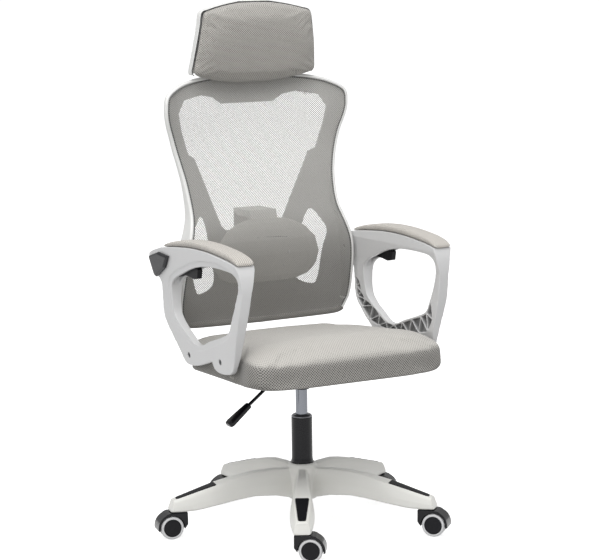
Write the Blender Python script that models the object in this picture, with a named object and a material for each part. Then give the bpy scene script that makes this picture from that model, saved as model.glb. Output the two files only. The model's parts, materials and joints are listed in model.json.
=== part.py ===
"""A reclining swivel chair with a mesh back, loop arms, a headrest and a five-star base on casters.

Metres, +Z up. The sitter faces -Y, so -X is the sitter's right. Shapes are written in the chair's own
coordinates, where the column's axis is X = Y = 0 and the floor is Z = 0. COLUMN_AT then puts the chair so
that its box is centred on the origin.
"""

import math

import bmesh
import bpy
import numpy as np
from mathutils import Matrix, Vector

# ---- Driving dimensions ----
COLUMN_AT = Vector((0.0100, -0.0129, 0.0))
GAP = 0.0004  # running gap between two pieces

LEG_COUNT = 5
FIRST_LEG = math.radians(-30.4)  # direction of the front leg, from -Y towards +X
STEM_CIRCLE = 0.300
LEG_BOTTOM = 0.0630
HUB_TOP = 0.153
HUB_RADIUS = 0.036

WHEEL_RADIUS = 0.027
WHEEL_INNER = 0.0035
WHEEL_OUTER = 0.0215
WHEEL_SIDES = 20
CASTER_TRAIL = 0.020
CASTER_YAWS = (-36.0, -47.0, -40.0, 165.0, 167.0)  # trailing direction of each caster, degrees from +X
STEM_RADIUS = 0.0055
STEM_BOTTOM = 0.0545
STEM_TOP = 0.0868
AXLE_RADIUS = 0.003
HOOD_TOP = 0.0620
HOOD_RADIUS = 0.0335
HOOD_HALF = 0.022
WHEEL_WELL = 0.0290

TUBE_RADIUS = 0.0245
TUBE_TOP = 0.261
PISTON_RADIUS = 0.014
PISTON_BOTTOM = 0.112
MECHANISM_BOTTOM = 0.327
PAN_BOTTOM = 0.3890
PAN_TOP = 0.4010

LEVER_Y = -0.020
LEVER_PIVOT = Vector((-0.036, LEVER_Y, 0.362))
LEVER_BEND = Vector((-0.080, LEVER_Y, 0.362))
LEVER_TIP = Vector((-0.205, LEVER_Y, 0.268))
LEVER_RADIUS = 0.004

HINGE_Y = 0.165  # recline axis, along X
HINGE_Z = 0.628
HINGE_RADIUS = 0.005
ARM_OUTER_TOP = 0.280  # half-width over the arms at ARM_TOP
ARM_TOP = 0.660
ARM_LEAN = 0.058  # the arms come in by this much per metre of height, going down
ARM_STEPS = (0.430, 0.460, 0.540, 0.600, 0.652)  # heights between which an arm's thickness tapers evenly

HEAD_TILT_Y = 0.262
HEAD_TILT_Z = 1.105


# ---- Small modelling kit ----
def clear_scene():
    for obj in list(bpy.data.objects):
        bpy.data.objects.remove(obj, do_unlink=True)


def material(name, colour, roughness, metallic=0.0):
    made = bpy.data.materials.new(name)
    made.use_nodes = True
    shader = made.node_tree.nodes["Principled BSDF"]
    shader.inputs["Base Color"].default_value = (*colour, 1.0)
    shader.inputs["Roughness"].default_value = roughness
    shader.inputs["Metallic"].default_value = metallic
    return made


def pivot(name, at, parent=None, turn=0.0):
    """An empty on a joint's axis. Its place is given in the chair's coordinates."""
    empty = bpy.data.objects.new(name, None)
    bpy.context.collection.objects.link(empty)
    empty["at"] = tuple(at)
    if parent is None:
        empty.location = COLUMN_AT
    else:
        empty.parent = parent
        empty.location = Vector(at) - Vector(parent["at"])
    empty.rotation_euler.z = turn
    return empty


def solid(name, shape, finish, parent, smooth=40.0):
    """An object from (vertices, faces) in the chair's coordinates, with its origin at its pivot."""
    vertices, faces = shape
    mesh = bpy.data.meshes.new(name)
    mesh.from_pydata([tuple(v) for v in vertices], [], faces)
    tidy_normals(mesh)
    mesh.transform(Matrix.Translation(-Vector(parent["at"])))
    obj = bpy.data.objects.new(name, mesh)
    bpy.context.collection.objects.link(obj)
    obj.parent = parent
    mesh.materials.append(finish)
    mesh.shade_smooth()
    mesh.set_sharp_from_angle(angle=math.radians(smooth))
    return obj


def tidy_normals(mesh):
    form = bmesh.new()
    form.from_mesh(mesh)
    bmesh.ops.remove_doubles(form, verts=form.verts, dist=1e-6)
    bmesh.ops.recalc_face_normals(form, faces=form.faces)
    form.to_mesh(mesh)
    form.free()


def combine(shape, *steps):
    """(vertices, faces) after Boolean steps, each an operation name and another shape."""
    base = loose_object(shape)
    for operation, other in steps:
        tool = loose_object(other)
        modifier = base.modifiers.new("cut", "BOOLEAN")
        modifier.operation = operation
        modifier.object = tool
        bpy.context.view_layer.update()
        graph = bpy.context.evaluated_depsgraph_get()
        result = bpy.data.meshes.new_from_object(base.evaluated_get(graph))
        base.modifiers.clear()
        base.data = result
        bpy.data.objects.remove(tool)
    vertices = [v.co.copy() for v in base.data.vertices]
    faces = [tuple(p.vertices) for p in base.data.polygons]
    bpy.data.objects.remove(base)
    return vertices, faces


def loose_object(shape):
    mesh = bpy.data.meshes.new("loose")
    mesh.from_pydata([tuple(v) for v in shape[0]], [], shape[1])
    tidy_normals(mesh)
    obj = bpy.data.objects.new("loose", mesh)
    bpy.context.collection.objects.link(obj)
    return obj


def loft(rings, ends="closed"):
    """A skin over rings of equal length. ends is closed, or loop where the last ring meets the first."""
    count = len(rings[0])
    vertices = [v for ring in rings for v in ring]
    faces = []
    spans = len(rings) if ends == "loop" else len(rings) - 1
    for i in range(spans):
        a = i * count
        b = (i + 1) % len(rings) * count
        for j in range(count):
            k = (j + 1) % count
            faces.append((a + j, a + k, b + k, b + j))
    if ends == "closed":
        faces.append(tuple(range(count))[::-1])
        faces.append(tuple(range(len(vertices) - count, len(vertices))))
    return vertices, faces


def turned(profile, segments, at=(0.0, 0.0, 0.0), phase=0.5):
    """A profile of (radius, height) points turned about Z. It is closed on the axis or on itself."""
    vertices = []
    rows = []
    for radius, height in profile:
        if radius == 0.0:
            rows.append([len(vertices)])
            vertices.append(Vector((0, 0, height)))
            continue
        rows.append(list(range(len(vertices), len(vertices) + segments)))
        for i in range(segments):
            angle = 2 * math.pi * (i + phase) / segments
            vertices.append(Vector((radius * math.cos(angle), radius * math.sin(angle), height)))
    if len(rows[0]) > 1:
        rows.append(rows[0])
    faces = []
    for low, high in zip(rows, rows[1:]):
        for i in range(segments):
            k = (i + 1) % segments
            if len(low) == 1:
                faces.append((low[0], high[k], high[i]))
            elif len(high) == 1:
                faces.append((low[i], low[k], high[0]))
            else:
                faces.append((low[i], low[k], high[k], high[i]))
    return [v + Vector(at) for v in vertices], faces


def moved(shape, matrix):
    return [matrix @ Vector(v) for v in shape[0]], shape[1]


def rod(start, end, radius, segments, phase=0.5):
    """A round bar from start to end."""
    start = Vector(start)
    along = Vector(end) - start
    profile = [(0.0, 0.0), (radius, 0.0), (radius, along.length), (0.0, along.length)]
    upright = turned(profile, segments, phase=phase)
    return moved(upright, Matrix.Translation(start) @ along.to_track_quat("Z", "Y").to_matrix().to_4x4())


def prism(outline, axis, low, high):
    """An outline in the plane square to axis (YZ for X, XZ for Y, XY for Z), drawn out from low to high."""
    place = {
        "X": lambda p, t: Vector((t, p[0], p[1])),
        "Y": lambda p, t: Vector((p[0], t, p[1])),
        "Z": lambda p, t: Vector((p[0], p[1], t)),
    }[axis]
    return loft([[place(p, low) for p in outline], [place(p, high) for p in outline]])


def block(low, high):
    (x0, y0, z0), (x1, y1, z1) = low, high
    return prism([(x0, y0), (x1, y0), (x1, y1), (x0, y1)], "Z", z0, z1)


def curve(knots, steps, closed=False):
    """A smooth line through the knots (Catmull-Rom), with steps points for each span."""
    knots = [np.array(k, float) for k in knots]
    count = len(knots)
    line = []
    for i in range(count if closed else count - 1):
        if closed:
            a, b, c, d = (knots[(i + k) % count] for k in (-1, 0, 1, 2))
        else:
            a, b, c, d = (knots[min(max(i + k, 0), count - 1)] for k in (-1, 0, 1, 2))
        for s in range(steps):
            t = s / steps
            square = (2 * a - 5 * b + 4 * c - d) * t**2
            cube = (3 * b - a - 3 * c + d) * t**3
            line.append(0.5 * (2 * b + (c - a) * t + square + cube))
    if not closed:
        line.append(knots[-1])
    return [tuple(float(v) for v in p) for p in line]


def smooth_value(*knots):
    """A smooth function through (place, value) knots."""
    line = np.array(curve(knots, 8))
    return lambda at: float(np.interp(at, line[:, 0], line[:, 1]))


def oval(half_x, low, high, power, count):
    """A rounded rectangle about X = 0 as (x, z) points: a superellipse."""
    middle = (low + high) / 2
    half_z = (high - low) / 2
    points = []
    for i in range(count):
        angle = 2 * math.pi * (i + 0.5) / count
        x = math.copysign(abs(math.cos(angle)) ** (2 / power), math.cos(angle))
        z = math.copysign(abs(math.sin(angle)) ** (2 / power), math.sin(angle))
        points.append((half_x * x, middle + half_z * z))
    return points


# ---- Base ----
leg_top = smooth_value(
    (0.030, 0.1405), (0.080, 0.1430), (0.130, 0.1390), (0.180, 0.1278), (0.230, 0.1148), (0.325, 0.0868)
)
leg_low = smooth_value(
    (0.020, 0.070), (0.060, 0.079), (0.110, 0.0835), (0.160, 0.080), (0.220, 0.0715), (0.262, 0.0645),
    (0.290, LEG_BOTTOM), (0.330, LEG_BOTTOM),
)
leg_half_low = smooth_value(
    (0.020, 0.019), (0.090, 0.0175), (0.150, 0.0215), (0.210, 0.0280), (0.260, 0.0265), (0.330, 0.0190)
)
leg_half_top = smooth_value(
    (0.020, 0.0090), (0.090, 0.0100), (0.150, 0.0140), (0.205, 0.0195), (0.250, 0.0180), (0.330, 0.0120)
)
LEG_STATIONS = (0.020, 0.070, 0.120, 0.160, 0.195, 0.220, 0.245, 0.265, 0.295, 0.316)
PAD_START = 0.213
PAD_END = 0.306
PAD_DEPTH = 0.003


def leg_point(along, across, height, index):
    angle = FIRST_LEG + index * 2 * math.pi / LEG_COUNT
    out = Vector((math.sin(angle), -math.cos(angle), 0))
    side = Vector((math.cos(angle), math.sin(angle), 0))
    return out * along + side * across + Vector((0, 0, height))


def leg_section(along, index, lean=0.0):
    low = leg_low(along)
    top = leg_top(along)
    wide = leg_half_low(along)
    narrow = leg_half_top(along)
    rise = top - low
    half = [
        (wide - 0.003, low, 0.0),
        (wide, low + 0.003, 0.0),
        (wide * 0.97, low + 0.42 * rise, 0.4),
        (0.45 * wide + 0.55 * narrow, low + 0.80 * rise, 0.8),
        (narrow, top - 0.0015, 1.0),
        (narrow - 0.002, top, 1.0),
    ]
    points = half + [(-a, h, t) for a, h, t in reversed(half)]
    return [leg_point(along - lean * t, a, h, index) for a, h, t in points]


def leg(index):
    rings = [leg_section(along, index) for along in LEG_STATIONS]
    tip = leg_section(0.3235, index, lean=0.007)
    middle = leg_point(0.300, 0.0, 0.0, index)
    for ring_point in range(len(tip)):
        inward = (middle - tip[ring_point]) * 0.06
        tip[ring_point] += Vector((inward.x, inward.y, 0))
    return loft(rings + [tip])


def leg_hollow(index, start, end, cover):
    """The open underside of a leg between two ribs."""
    rings = []
    for along in np.linspace(start, end, 3):
        half_low = leg_half_low(along) - 0.004
        half_top = leg_half_top(along) - 0.003
        top = leg_top(along) - cover
        rings.append(
            [
                leg_point(along, -half_low, 0.05, index),
                leg_point(along, half_low, 0.05, index),
                leg_point(along, half_top, top, index),
                leg_point(along, -half_top, top, index),
            ]
        )
    return loft(rings)


def pad_outline(index, grow, low, high):
    """The trapezoid of a foot pad, from low to high about the leg's top."""
    rings = []
    for along, half in (
        (PAD_START - grow, 0.0132 + grow),
        (PAD_START + 0.002, 0.0156 + grow),
        (PAD_END - 0.004, 0.0088 + grow),
        (PAD_END + grow, 0.0065 + grow),
    ):
        top = leg_top(along)
        corners = ((-half, low), (half, low), (half, high), (-half, high))
        rings.append([leg_point(along, across, top + height, index) for across, height in corners])
    return loft(rings)


def star_base_shape():
    hub = turned(
        [
            (0.0, 0.068),
            (0.033, 0.068),
            (0.035, 0.075),
            (HUB_RADIUS - 0.001, 0.143),
            (HUB_RADIUS - 0.003, 0.150),
            (0.030, HUB_TOP),
            (0.0, HUB_TOP),
        ],
        32,
    )
    steps = [("UNION", leg(i)) for i in range(LEG_COUNT)]
    bore = TUBE_RADIUS + GAP
    steps.append(("DIFFERENCE", turned([(0, 0.05), (bore, 0.05), (bore, 0.2), (0, 0.2)], 32)))
    for i in range(LEG_COUNT):
        socket = leg_point(STEM_CIRCLE, 0, 0, i)
        socket_low = socket + Vector((0, 0, 0.05))
        socket_top = socket + Vector((0, 0, STEM_TOP + 0.0007))
        steps.append(("DIFFERENCE", rod(socket_low, socket_top, STEM_RADIUS + GAP, 12)))
        steps.append(("DIFFERENCE", pad_outline(i, 0.0004, -PAD_DEPTH - 0.0004, 0.02)))
        steps.append(("DIFFERENCE", leg_hollow(i, 0.050, 0.112, 0.005)))
        steps.append(("DIFFERENCE", leg_hollow(i, 0.116, 0.188, 0.005)))
        steps.append(("DIFFERENCE", leg_hollow(i, 0.192, 0.255, 0.009)))
    return combine(hub, *steps)


def build_base(finish, root):
    solid("star_base", star_base_shape(), finish["white_plastic"], root, 30)
    for i in range(LEG_COUNT):
        solid(f"foot_pad_{i + 1}", pad_outline(i, 0.0, -PAD_DEPTH, 0.0008), finish["black_plastic"], root)
    tube = turned(
        [
            (TUBE_RADIUS, 0.071),
            (TUBE_RADIUS, 0.1538),
            (TUBE_RADIUS + 0.0015, 0.1538),
            (TUBE_RADIUS, 0.160),
            (TUBE_RADIUS, TUBE_TOP),
            (PISTON_RADIUS + 0.0012, TUBE_TOP),
            (PISTON_RADIUS + 0.0012, 0.071),
        ],
        24,
    )
    solid("column_tube", tube, finish["black_metal"], root)
    collar = turned(
        [
            (TUBE_RADIUS, TUBE_TOP + 0.0003),
            (TUBE_RADIUS - 0.0005, TUBE_TOP + 0.003),
            (TUBE_RADIUS - 0.004, TUBE_TOP + 0.0065),
            (PISTON_RADIUS + GAP, TUBE_TOP + 0.0065),
            (PISTON_RADIUS + GAP, TUBE_TOP + 0.0003),
        ],
        24,
    )
    solid("column_collar", collar, finish["grey_metal"], root)


# ---- Casters, in a frame of their own: stem axis on Z, trailing along +X ----
def hood_shape():
    rear = []
    for angle in np.radians((-8, 6, 20, 34, 48, 62)):
        along = CASTER_TRAIL + HOOD_RADIUS * math.cos(angle)
        rear.append((along, WHEEL_RADIUS + HOOD_RADIUS * math.sin(angle)))
    outline = [
        (-0.0165, HOOD_TOP),
        (-0.0168, 0.0340),
        (-0.0090, 0.0235),
        (0.0080, 0.0165),
        (0.0300, 0.0165),
        *rear,
        (0.0315, 0.0598),
        (0.0250, HOOD_TOP),
    ]
    axle_at = Vector((CASTER_TRAIL, 0, WHEEL_RADIUS))
    side = Vector((0, 1, 0))
    steps = []
    for way in (-1, 1):
        well = rod(axle_at + side * way * 0.0027, axle_at + side * way * 0.03, WHEEL_WELL, 20)
        steps.append(("DIFFERENCE", well))
    steps.append(("DIFFERENCE", rod(axle_at - side * 0.01, axle_at + side * 0.01, AXLE_RADIUS + GAP, 12)))
    steps.append(("DIFFERENCE", rod((0, 0, STEM_BOTTOM - GAP), (0, 0, 0.08), STEM_RADIUS + GAP, 12)))
    return combine(prism(outline, "Y", -HOOD_HALF, HOOD_HALF), *steps)


def wheel_shape():
    """Turned about Z from the wheel's inner side to its outer face, then laid along +Y at the axle."""
    width = WHEEL_OUTER - WHEEL_INNER
    bore = AXLE_RADIUS + GAP
    # The corners lie outside WHEEL_RADIUS, so that the flat that rests on the floor is at it.
    rim = WHEEL_RADIUS / math.cos(math.pi / WHEEL_SIDES)
    profile = [
        (0.0, width - 0.003),
        (bore, width - 0.003),
        (bore, 0.0),
        (rim, 0.0),
        (rim, width - 0.0025),
        (rim - 0.003, width),
        (0.0, width),
    ]
    upright = turned(profile, WHEEL_SIDES)
    return moved(upright, Matrix.Translation((0, WHEEL_INNER, 0)) @ Matrix.Rotation(-math.pi / 2, 4, "X"))


def build_casters(finish, root):
    stem = rod((0, 0, STEM_BOTTOM), (0, 0, STEM_TOP), STEM_RADIUS, 12)
    hood = hood_shape()
    reach = WHEEL_OUTER - 0.0036
    axle_at = Vector((CASTER_TRAIL, 0, WHEEL_RADIUS))
    across = Vector((0, reach, 0))
    axle = rod(axle_at - across, axle_at + across, AXLE_RADIUS, 12)
    wheel = wheel_shape()
    for i, yaw in enumerate(CASTER_YAWS, 1):
        foot = leg_point(STEM_CIRCLE, 0, 0, i - 1)
        swivel = pivot(f"caster_{i}_swivel", foot, root, math.radians(yaw))
        at_foot = Matrix.Translation(foot)
        solid(f"caster_{i}_stem", moved(stem, at_foot), finish["steel"], swivel)
        solid(f"caster_{i}_hood", moved(hood, at_foot), finish["black_gloss"], swivel, 30)
        solid(f"caster_{i}_axle", moved(axle, at_foot), finish["steel"], swivel)
        axle_at = foot + Vector((CASTER_TRAIL, 0, WHEEL_RADIUS))
        spin = pivot(f"caster_{i}_spin", axle_at, swivel)
        for side, turn in (("a", 0.0), ("b", math.pi)):
            placed = moved(wheel, Matrix.Translation(axle_at) @ Matrix.Rotation(turn, 4, "Z"))
            solid(f"caster_{i}_wheel_{side}", placed, finish["grey_tyre"], spin, 30)


# ---- Gas lift, mechanism and lever ----
def mechanism_shape():
    plate = block((-0.075, -0.100, PAN_BOTTOM - 0.0033), (0.075, 0.095, PAN_BOTTOM - 0.0003))
    rings = []
    for half_x, front, rear, z in (
        (0.052, -0.075, 0.070, PAN_BOTTOM - 0.0020),
        (0.052, -0.060, 0.055, 0.350),
        (0.044, -0.045, 0.045, 0.342),
    ):
        corners = ((-half_x, front), (half_x, front), (half_x, rear), (-half_x, rear))
        rings.append([Vector((x, y, z)) for x, y in corners])
    cup = [
        (0.0, 0.3480),
        (0.0225, 0.3480),
        (0.0205, MECHANISM_BOTTOM + 0.002),
        (0.0185, MECHANISM_BOTTOM),
        (0.0, MECHANISM_BOTTOM),
    ]
    wide = PISTON_RADIUS + GAP
    bore = [(0.0, 0.30), (wide, 0.30), (wide, 0.335), (0.0128, 0.3652), (0.0, 0.3652)]
    pocket = block((-0.060, LEVER_Y - 0.009, 0.351), (-0.0295, LEVER_Y + 0.009, 0.3745))
    return combine(
        plate,
        ("UNION", loft(rings)),
        ("UNION", turned(cup, 24)),
        ("DIFFERENCE", turned(bore, 24)),
        ("DIFFERENCE", pocket),
    )


def lever_rod_shape():
    down = (LEVER_TIP - LEVER_BEND).normalized()
    side = Vector((0, 1, 0))
    path = [
        (LEVER_PIVOT + Vector((0.001, 0, 0)), Vector((-1, 0, 0))),
        (LEVER_BEND + Vector((0.010, 0, 0)), Vector((-1, 0, 0))),
        (LEVER_BEND + Vector((0.002, 0, -0.0008)), (Vector((-2, 0, 0)) + down).normalized()),
        (LEVER_BEND + down * 0.004 + Vector((0, 0, -0.0005)), (Vector((-0.7, 0, 0)) + down).normalized()),
        (LEVER_BEND + down * 0.012, down),
        (LEVER_BEND + down * 0.098, down),
    ]
    rings = []
    for at, along in path:
        across = side.cross(along).normalized()
        ring = []
        for i in range(12):
            angle = 2 * math.pi * i / 12
            ring.append(at + (side * math.cos(angle) + across * math.sin(angle)) * LEVER_RADIUS)
        rings.append(ring)
    return loft(rings)


def lever_handle_shape():
    """A flat paddle that widens towards its tip, with a socket for the rod."""
    down = (LEVER_TIP - LEVER_BEND).normalized()
    side = Vector((0, 1, 0))
    across = side.cross(down).normalized()
    rings = []
    for back, half_wide, half_thick in (
        (0.0690, 0.0070, 0.0060),
        (0.0660, 0.0085, 0.0070),
        (0.0500, 0.0100, 0.0075),
        (0.0250, 0.0125, 0.0080),
        (0.0080, 0.0140, 0.0080),
        (0.0020, 0.0128, 0.0066),
        (0.0000, 0.0100, 0.0045),
    ):
        at = LEVER_TIP - down * back
        section = oval(half_wide, -half_thick, half_thick, 3.2, 16)
        rings.append([at + side * a + across * b for a, b in section])
    socket = rod(LEVER_TIP - down * 0.09, LEVER_TIP - down * 0.0575, LEVER_RADIUS + GAP, 12)
    return combine(loft(rings), ("DIFFERENCE", socket))


def build_lift(finish, lift, seat):
    piston = [
        (0.0, PISTON_BOTTOM),
        (PISTON_RADIUS, PISTON_BOTTOM),
        (PISTON_RADIUS, 0.335),
        (0.0124, 0.3645),
        (0.0, 0.3645),
    ]
    solid("gas_piston", turned(piston, 24), finish["chrome"], lift)
    solid("lift_mechanism", mechanism_shape(), finish["black_metal"], seat, 30)
    lever = pivot("lift_lever_pivot", LEVER_PIVOT, seat)
    solid("lever_rod", lever_rod_shape(), finish["black_metal"], lever)
    solid("lever_handle", lever_handle_shape(), finish["black_gloss"], lever, 50)


# ---- Seat ----
seat_half = smooth_value(
    (-0.262, 0.090), (-0.2575, 0.165), (-0.2520, 0.208), (-0.240, 0.238), (-0.222, 0.2515), (-0.192, 0.2570),
    (-0.140, 0.2530), (0.000, 0.2400), (0.100, 0.2290), (0.175, 0.2125), (0.205, 0.190), (0.217, 0.150),
)
seat_top = smooth_value(
    (-0.262, 0.434), (-0.252, 0.444), (-0.237, 0.4505), (-0.204, 0.4590), (-0.156, 0.4630), (-0.107, 0.4590),
    (-0.007, 0.4515), (0.118, 0.4430), (0.180, 0.4390), (0.205, 0.433), (0.217, 0.420),
)
seat_crown = smooth_value(
    (-0.262, 0.000), (-0.230, 0.008), (-0.150, 0.013), (0.000, 0.009), (0.150, 0.004), (0.217, 0.000),
)
SEAT_LOW = PAN_TOP + GAP
SEAT_STATIONS = (
    -0.262, -0.256, -0.246, -0.228, -0.200, -0.184, -0.150, -0.130,
    -0.060, 0.020, 0.076, 0.130, 0.175, 0.203, 0.217,
)
FLANGE_FRONT = -0.125
FLANGE_REAR = 0.072
FLANGE_TOP = 0.446
FLANGE_INNER = 0.2425
BOLT_PLACES = ((-0.102, 0.433), (0.050, 0.426))  # (y, z) of the two arm bolts
ARM_BOLT_RADIUS = 0.0040
ARM_BOLT_HEAD = 0.0060
RECLINE_BOLT_HEAD = 0.0086


def arm_outer(height):
    return ARM_OUTER_TOP - ARM_LEAN * (ARM_TOP - height)


def arm_thickness(height):
    return float(np.interp(height, ARM_STEPS, (0.0115, 0.0180, 0.0255, 0.0345, 0.0470)))


def seat_pan_shape():
    """A plate under the cushion, with a tab at each side that the arm bolts to."""
    places = (-0.252, -0.240, -0.222, -0.192, -0.140, 0.000, 0.100, 0.175, 0.205)
    left = [(0.012 - seat_half(y), y * 0.96) for y in places]
    outline = left + [(-x, y) for x, y in reversed(left)]
    outer = arm_outer(FLANGE_TOP) - arm_thickness(FLANGE_TOP) - GAP
    steps = []
    tab = (FLANGE_TOP, FLANGE_INNER, outer)
    bridge = (PAN_TOP - 0.002, 0.200, FLANGE_INNER + 0.003)
    for way in (-1, 1):
        for top, low_x, high_x in (tab, bridge):
            side_view = [
                (FLANGE_FRONT, PAN_BOTTOM),
                (FLANGE_REAR, PAN_BOTTOM),
                (FLANGE_REAR, top),
                (FLANGE_FRONT, top),
            ]
            steps.append(("UNION", prism(side_view, "X", *sorted((way * low_x, way * high_x)))))
        for y, z in BOLT_PLACES:
            hole = rod((way * 0.23, y, z), (way * 0.26, y, z), ARM_BOLT_RADIUS + GAP, 12)
            steps.append(("DIFFERENCE", hole))
    return combine(prism(outline, "Z", PAN_BOTTOM, PAN_TOP), *steps)


def seat_cushion_shape():
    """Crowned block whose sides stay inside the pan's tabs."""
    rings = []
    for y in SEAT_STATIONS:
        half = seat_half(y)
        if FLANGE_FRONT - 0.01 < y < FLANGE_REAR + 0.01:
            half = min(half, FLANGE_INNER - GAP)
        elif FLANGE_FRONT - 0.06 < y:
            half = min(half, FLANGE_INNER + 0.005)
        points = oval(half, SEAT_LOW, seat_top(y), 6.0, 20)
        middle = (SEAT_LOW + seat_top(y)) / 2
        ring = []
        for x, z in points:
            rise = seat_crown(y) * (1 - (x / half) ** 2) if z > middle else 0.0
            ring.append(Vector((x, y, z + rise)))
        rings.append(ring)
    return loft(rings)


# ---- Arms ----
ARM_OUTLINE = (
    [(0.168, 0.6605), (0.159, 0.663)],
    [
        (0.159, 0.663), (0.091, 0.671), (0.009, 0.677), (-0.069, 0.6765),
        (-0.141, 0.6705), (-0.184, 0.6650), (-0.2065, 0.6600),
    ],
    [
        (-0.2065, 0.6600), (-0.2130, 0.637), (-0.2150, 0.612), (-0.2120, 0.587),
        (-0.201, 0.537), (-0.181, 0.478), (-0.171, 0.445),
    ],
    [
        (-0.171, 0.445), (-0.163, 0.424), (-0.148, 0.413), (-0.120, 0.408),
        (-0.090, 0.4085), (-0.071, 0.416), (-0.063, 0.429),
    ],
    [
        (-0.063, 0.429), (-0.035, 0.420), (0.000, 0.410), (0.030, 0.4045),
        (0.057, 0.404), (0.076, 0.413), (0.092, 0.430),
    ],
    [
        (0.092, 0.430), (0.126, 0.462), (0.152, 0.488), (0.163, 0.510),
        (0.1635, 0.545), (0.163, 0.575), (0.172, 0.590),
    ],
    [(0.172, 0.590), (0.189, 0.597), (0.207, 0.617), (0.2195, 0.640), (0.2060, 0.6500), (0.168, 0.6605)],
)
LOOP_OUTLINE = (
    (0.0630, 0.6120), (0.0000, 0.6330), (-0.0600, 0.6430), (-0.1250, 0.6450), (-0.1800, 0.6420),
    (-0.1980, 0.6310), (-0.2010, 0.6120), (-0.1900, 0.5760), (-0.1700, 0.5400), (-0.1480, 0.5060),
    (-0.1100, 0.4900), (-0.0550, 0.4730), (-0.0150, 0.4580), (0.0170, 0.4570), (0.0450, 0.4700),
    (0.0900, 0.4950), (0.1110, 0.5160), (0.1180, 0.5410), (0.1185, 0.5680), (0.1130, 0.5850),
    (0.0950, 0.5990),
)
# The ribs in an arm's open inner side run to and fro between these points, along its lower half.
ARM_RIBS = (
    (0.1590, 0.5545), (0.1390, 0.5375), (0.1585, 0.5270), (0.1350, 0.5150), (0.1560, 0.5030),
    (0.1180, 0.4990), (0.1350, 0.4800), (0.0850, 0.4880), (0.1020, 0.4510), (0.0550, 0.4690),
    (0.0680, 0.4420), (0.0280, 0.4540), (0.0280, 0.4375), (-0.0080, 0.4530), (-0.0250, 0.4330),
    (-0.0450, 0.4650), (-0.0680, 0.4390), (-0.0850, 0.4780), (-0.1130, 0.4500), (-0.1250, 0.4900),
    (-0.1520, 0.4580), (-0.1500, 0.5010), (-0.1750, 0.4900), (-0.1700, 0.5330),
)
RIB_THICKNESS = 0.0024
FRONT_NARROWING = 0.008
TRIGGER_SLOT = (
    (-0.022, 0.600), (0.117, 0.580), (0.117, 0.600), (0.100, 0.622), (0.040, 0.648), (-0.022, 0.656),
)
TRIGGER_PIVOT = (0.098, 0.608)
TRIGGER_HALF = 0.0062
PAD_CENTRE = 0.2562


def arm_outline():
    line = []
    for stretch in ARM_OUTLINE:
        line += curve(stretch, 2 if len(stretch) > 2 else 1)[:-1]
    return line


def arm_x(share, height):
    """Half-width of the chair at a share of the arm's thickness: 0 on its outer face, 1 on its inner one."""
    return arm_outer(height) - share * arm_thickness(height)


def front_narrowing(share, depth, height):
    """How far an arm's outer face comes in towards the front edge of its front post."""
    near_front = float(np.interp(depth, (-0.212, -0.190), (1.0, 0.0)))
    below_pad = float(np.interp(height, (0.540, 0.600, 0.640, 0.656), (0.2, 1.0, 0.6, 0.0)))
    return FRONT_NARROWING * near_front * below_pad * max(1.0 - 1.25 * share, -0.25)


def inset_triangle(corners, distance):
    """A triangle with each side moved inwards. None if nothing is left of it."""
    a, b, c = (np.array(corner) for corner in corners)
    sides = [np.linalg.norm(b - c), np.linalg.norm(c - a), np.linalg.norm(a - b)]
    round_ = sum(sides)
    centre = (a * sides[0] + b * sides[1] + c * sides[2]) / round_
    first = b - a
    second = c - a
    radius = abs(first[0] * second[1] - first[1] * second[0]) / round_
    if radius < 2 * distance:
        return None
    return [tuple(centre + (corner - centre) * (1 - distance / radius)) for corner in (a, b, c)]


def sunk_bore(way, y, z, radius, head_radius, depth):
    """The cuts for a bolt through an arm, with its head sunk in the outer face."""
    outside = (way * 0.30, y, z)
    head_at = (way * (arm_outer(z) - depth), y, z)
    through = rod((way * 0.20, y, z), outside, radius, 12)
    return [("DIFFERENCE", through), ("DIFFERENCE", rod(head_at, outside, head_radius, 16))]


def arm_shape(way):
    """Built flat with X as the share of its thickness, then given its lean and taper."""
    outline = prism(arm_outline(), "X", 0.0, 1.0)
    loop = prism(curve(LOOP_OUTLINE, 2, closed=True), "X", -1.0, 2.0)
    steps = [("DIFFERENCE", loop), ("DIFFERENCE", prism(TRIGGER_SLOT, "X", 0.26, 0.74))]
    for corners in zip(ARM_RIBS, ARM_RIBS[1:], ARM_RIBS[2:]):
        pocket = inset_triangle(corners, RIB_THICKNESS / 2)
        if pocket:
            steps.append(("DIFFERENCE", prism(pocket, "X", 0.24, 2.0)))
    form = bmesh.new()
    mesh = bpy.data.meshes.new("loose")
    vertices, faces = combine(outline, *steps)
    mesh.from_pydata(vertices, [], faces)
    form.from_mesh(mesh)
    for height in ARM_STEPS:
        whole = form.verts[:] + form.edges[:] + form.faces[:]
        bmesh.ops.bisect_plane(form, geom=whole, plane_co=(0, 0, height), plane_no=(0, 0, 1), dist=1e-5)
    bmesh.ops.triangulate(form, faces=form.faces)
    form.to_mesh(mesh)
    form.free()
    vertices = []
    for v in mesh.vertices:
        share, depth, height = v.co
        half = arm_x(share, height) - front_narrowing(share, depth, height)
        vertices.append(Vector((way * half, depth, height)))
    shape = (vertices, [tuple(p.vertices) for p in mesh.polygons])
    steps = []
    for y, z in BOLT_PLACES:
        steps += sunk_bore(way, y, z, ARM_BOLT_RADIUS + GAP, ARM_BOLT_HEAD + 2 * GAP, 0.0055)
    steps += sunk_bore(way, HINGE_Y, HINGE_Z, HINGE_RADIUS + GAP, RECLINE_BOLT_HEAD + 2 * GAP, 0.0085)
    return combine(shape, *steps)


pad_base = smooth_value(
    (-0.2065, 0.6600), (-0.184, 0.6650), (-0.141, 0.6705), (-0.069, 0.6765), (0.009, 0.677), (0.091, 0.671),
    (0.159, 0.663),
)


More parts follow.
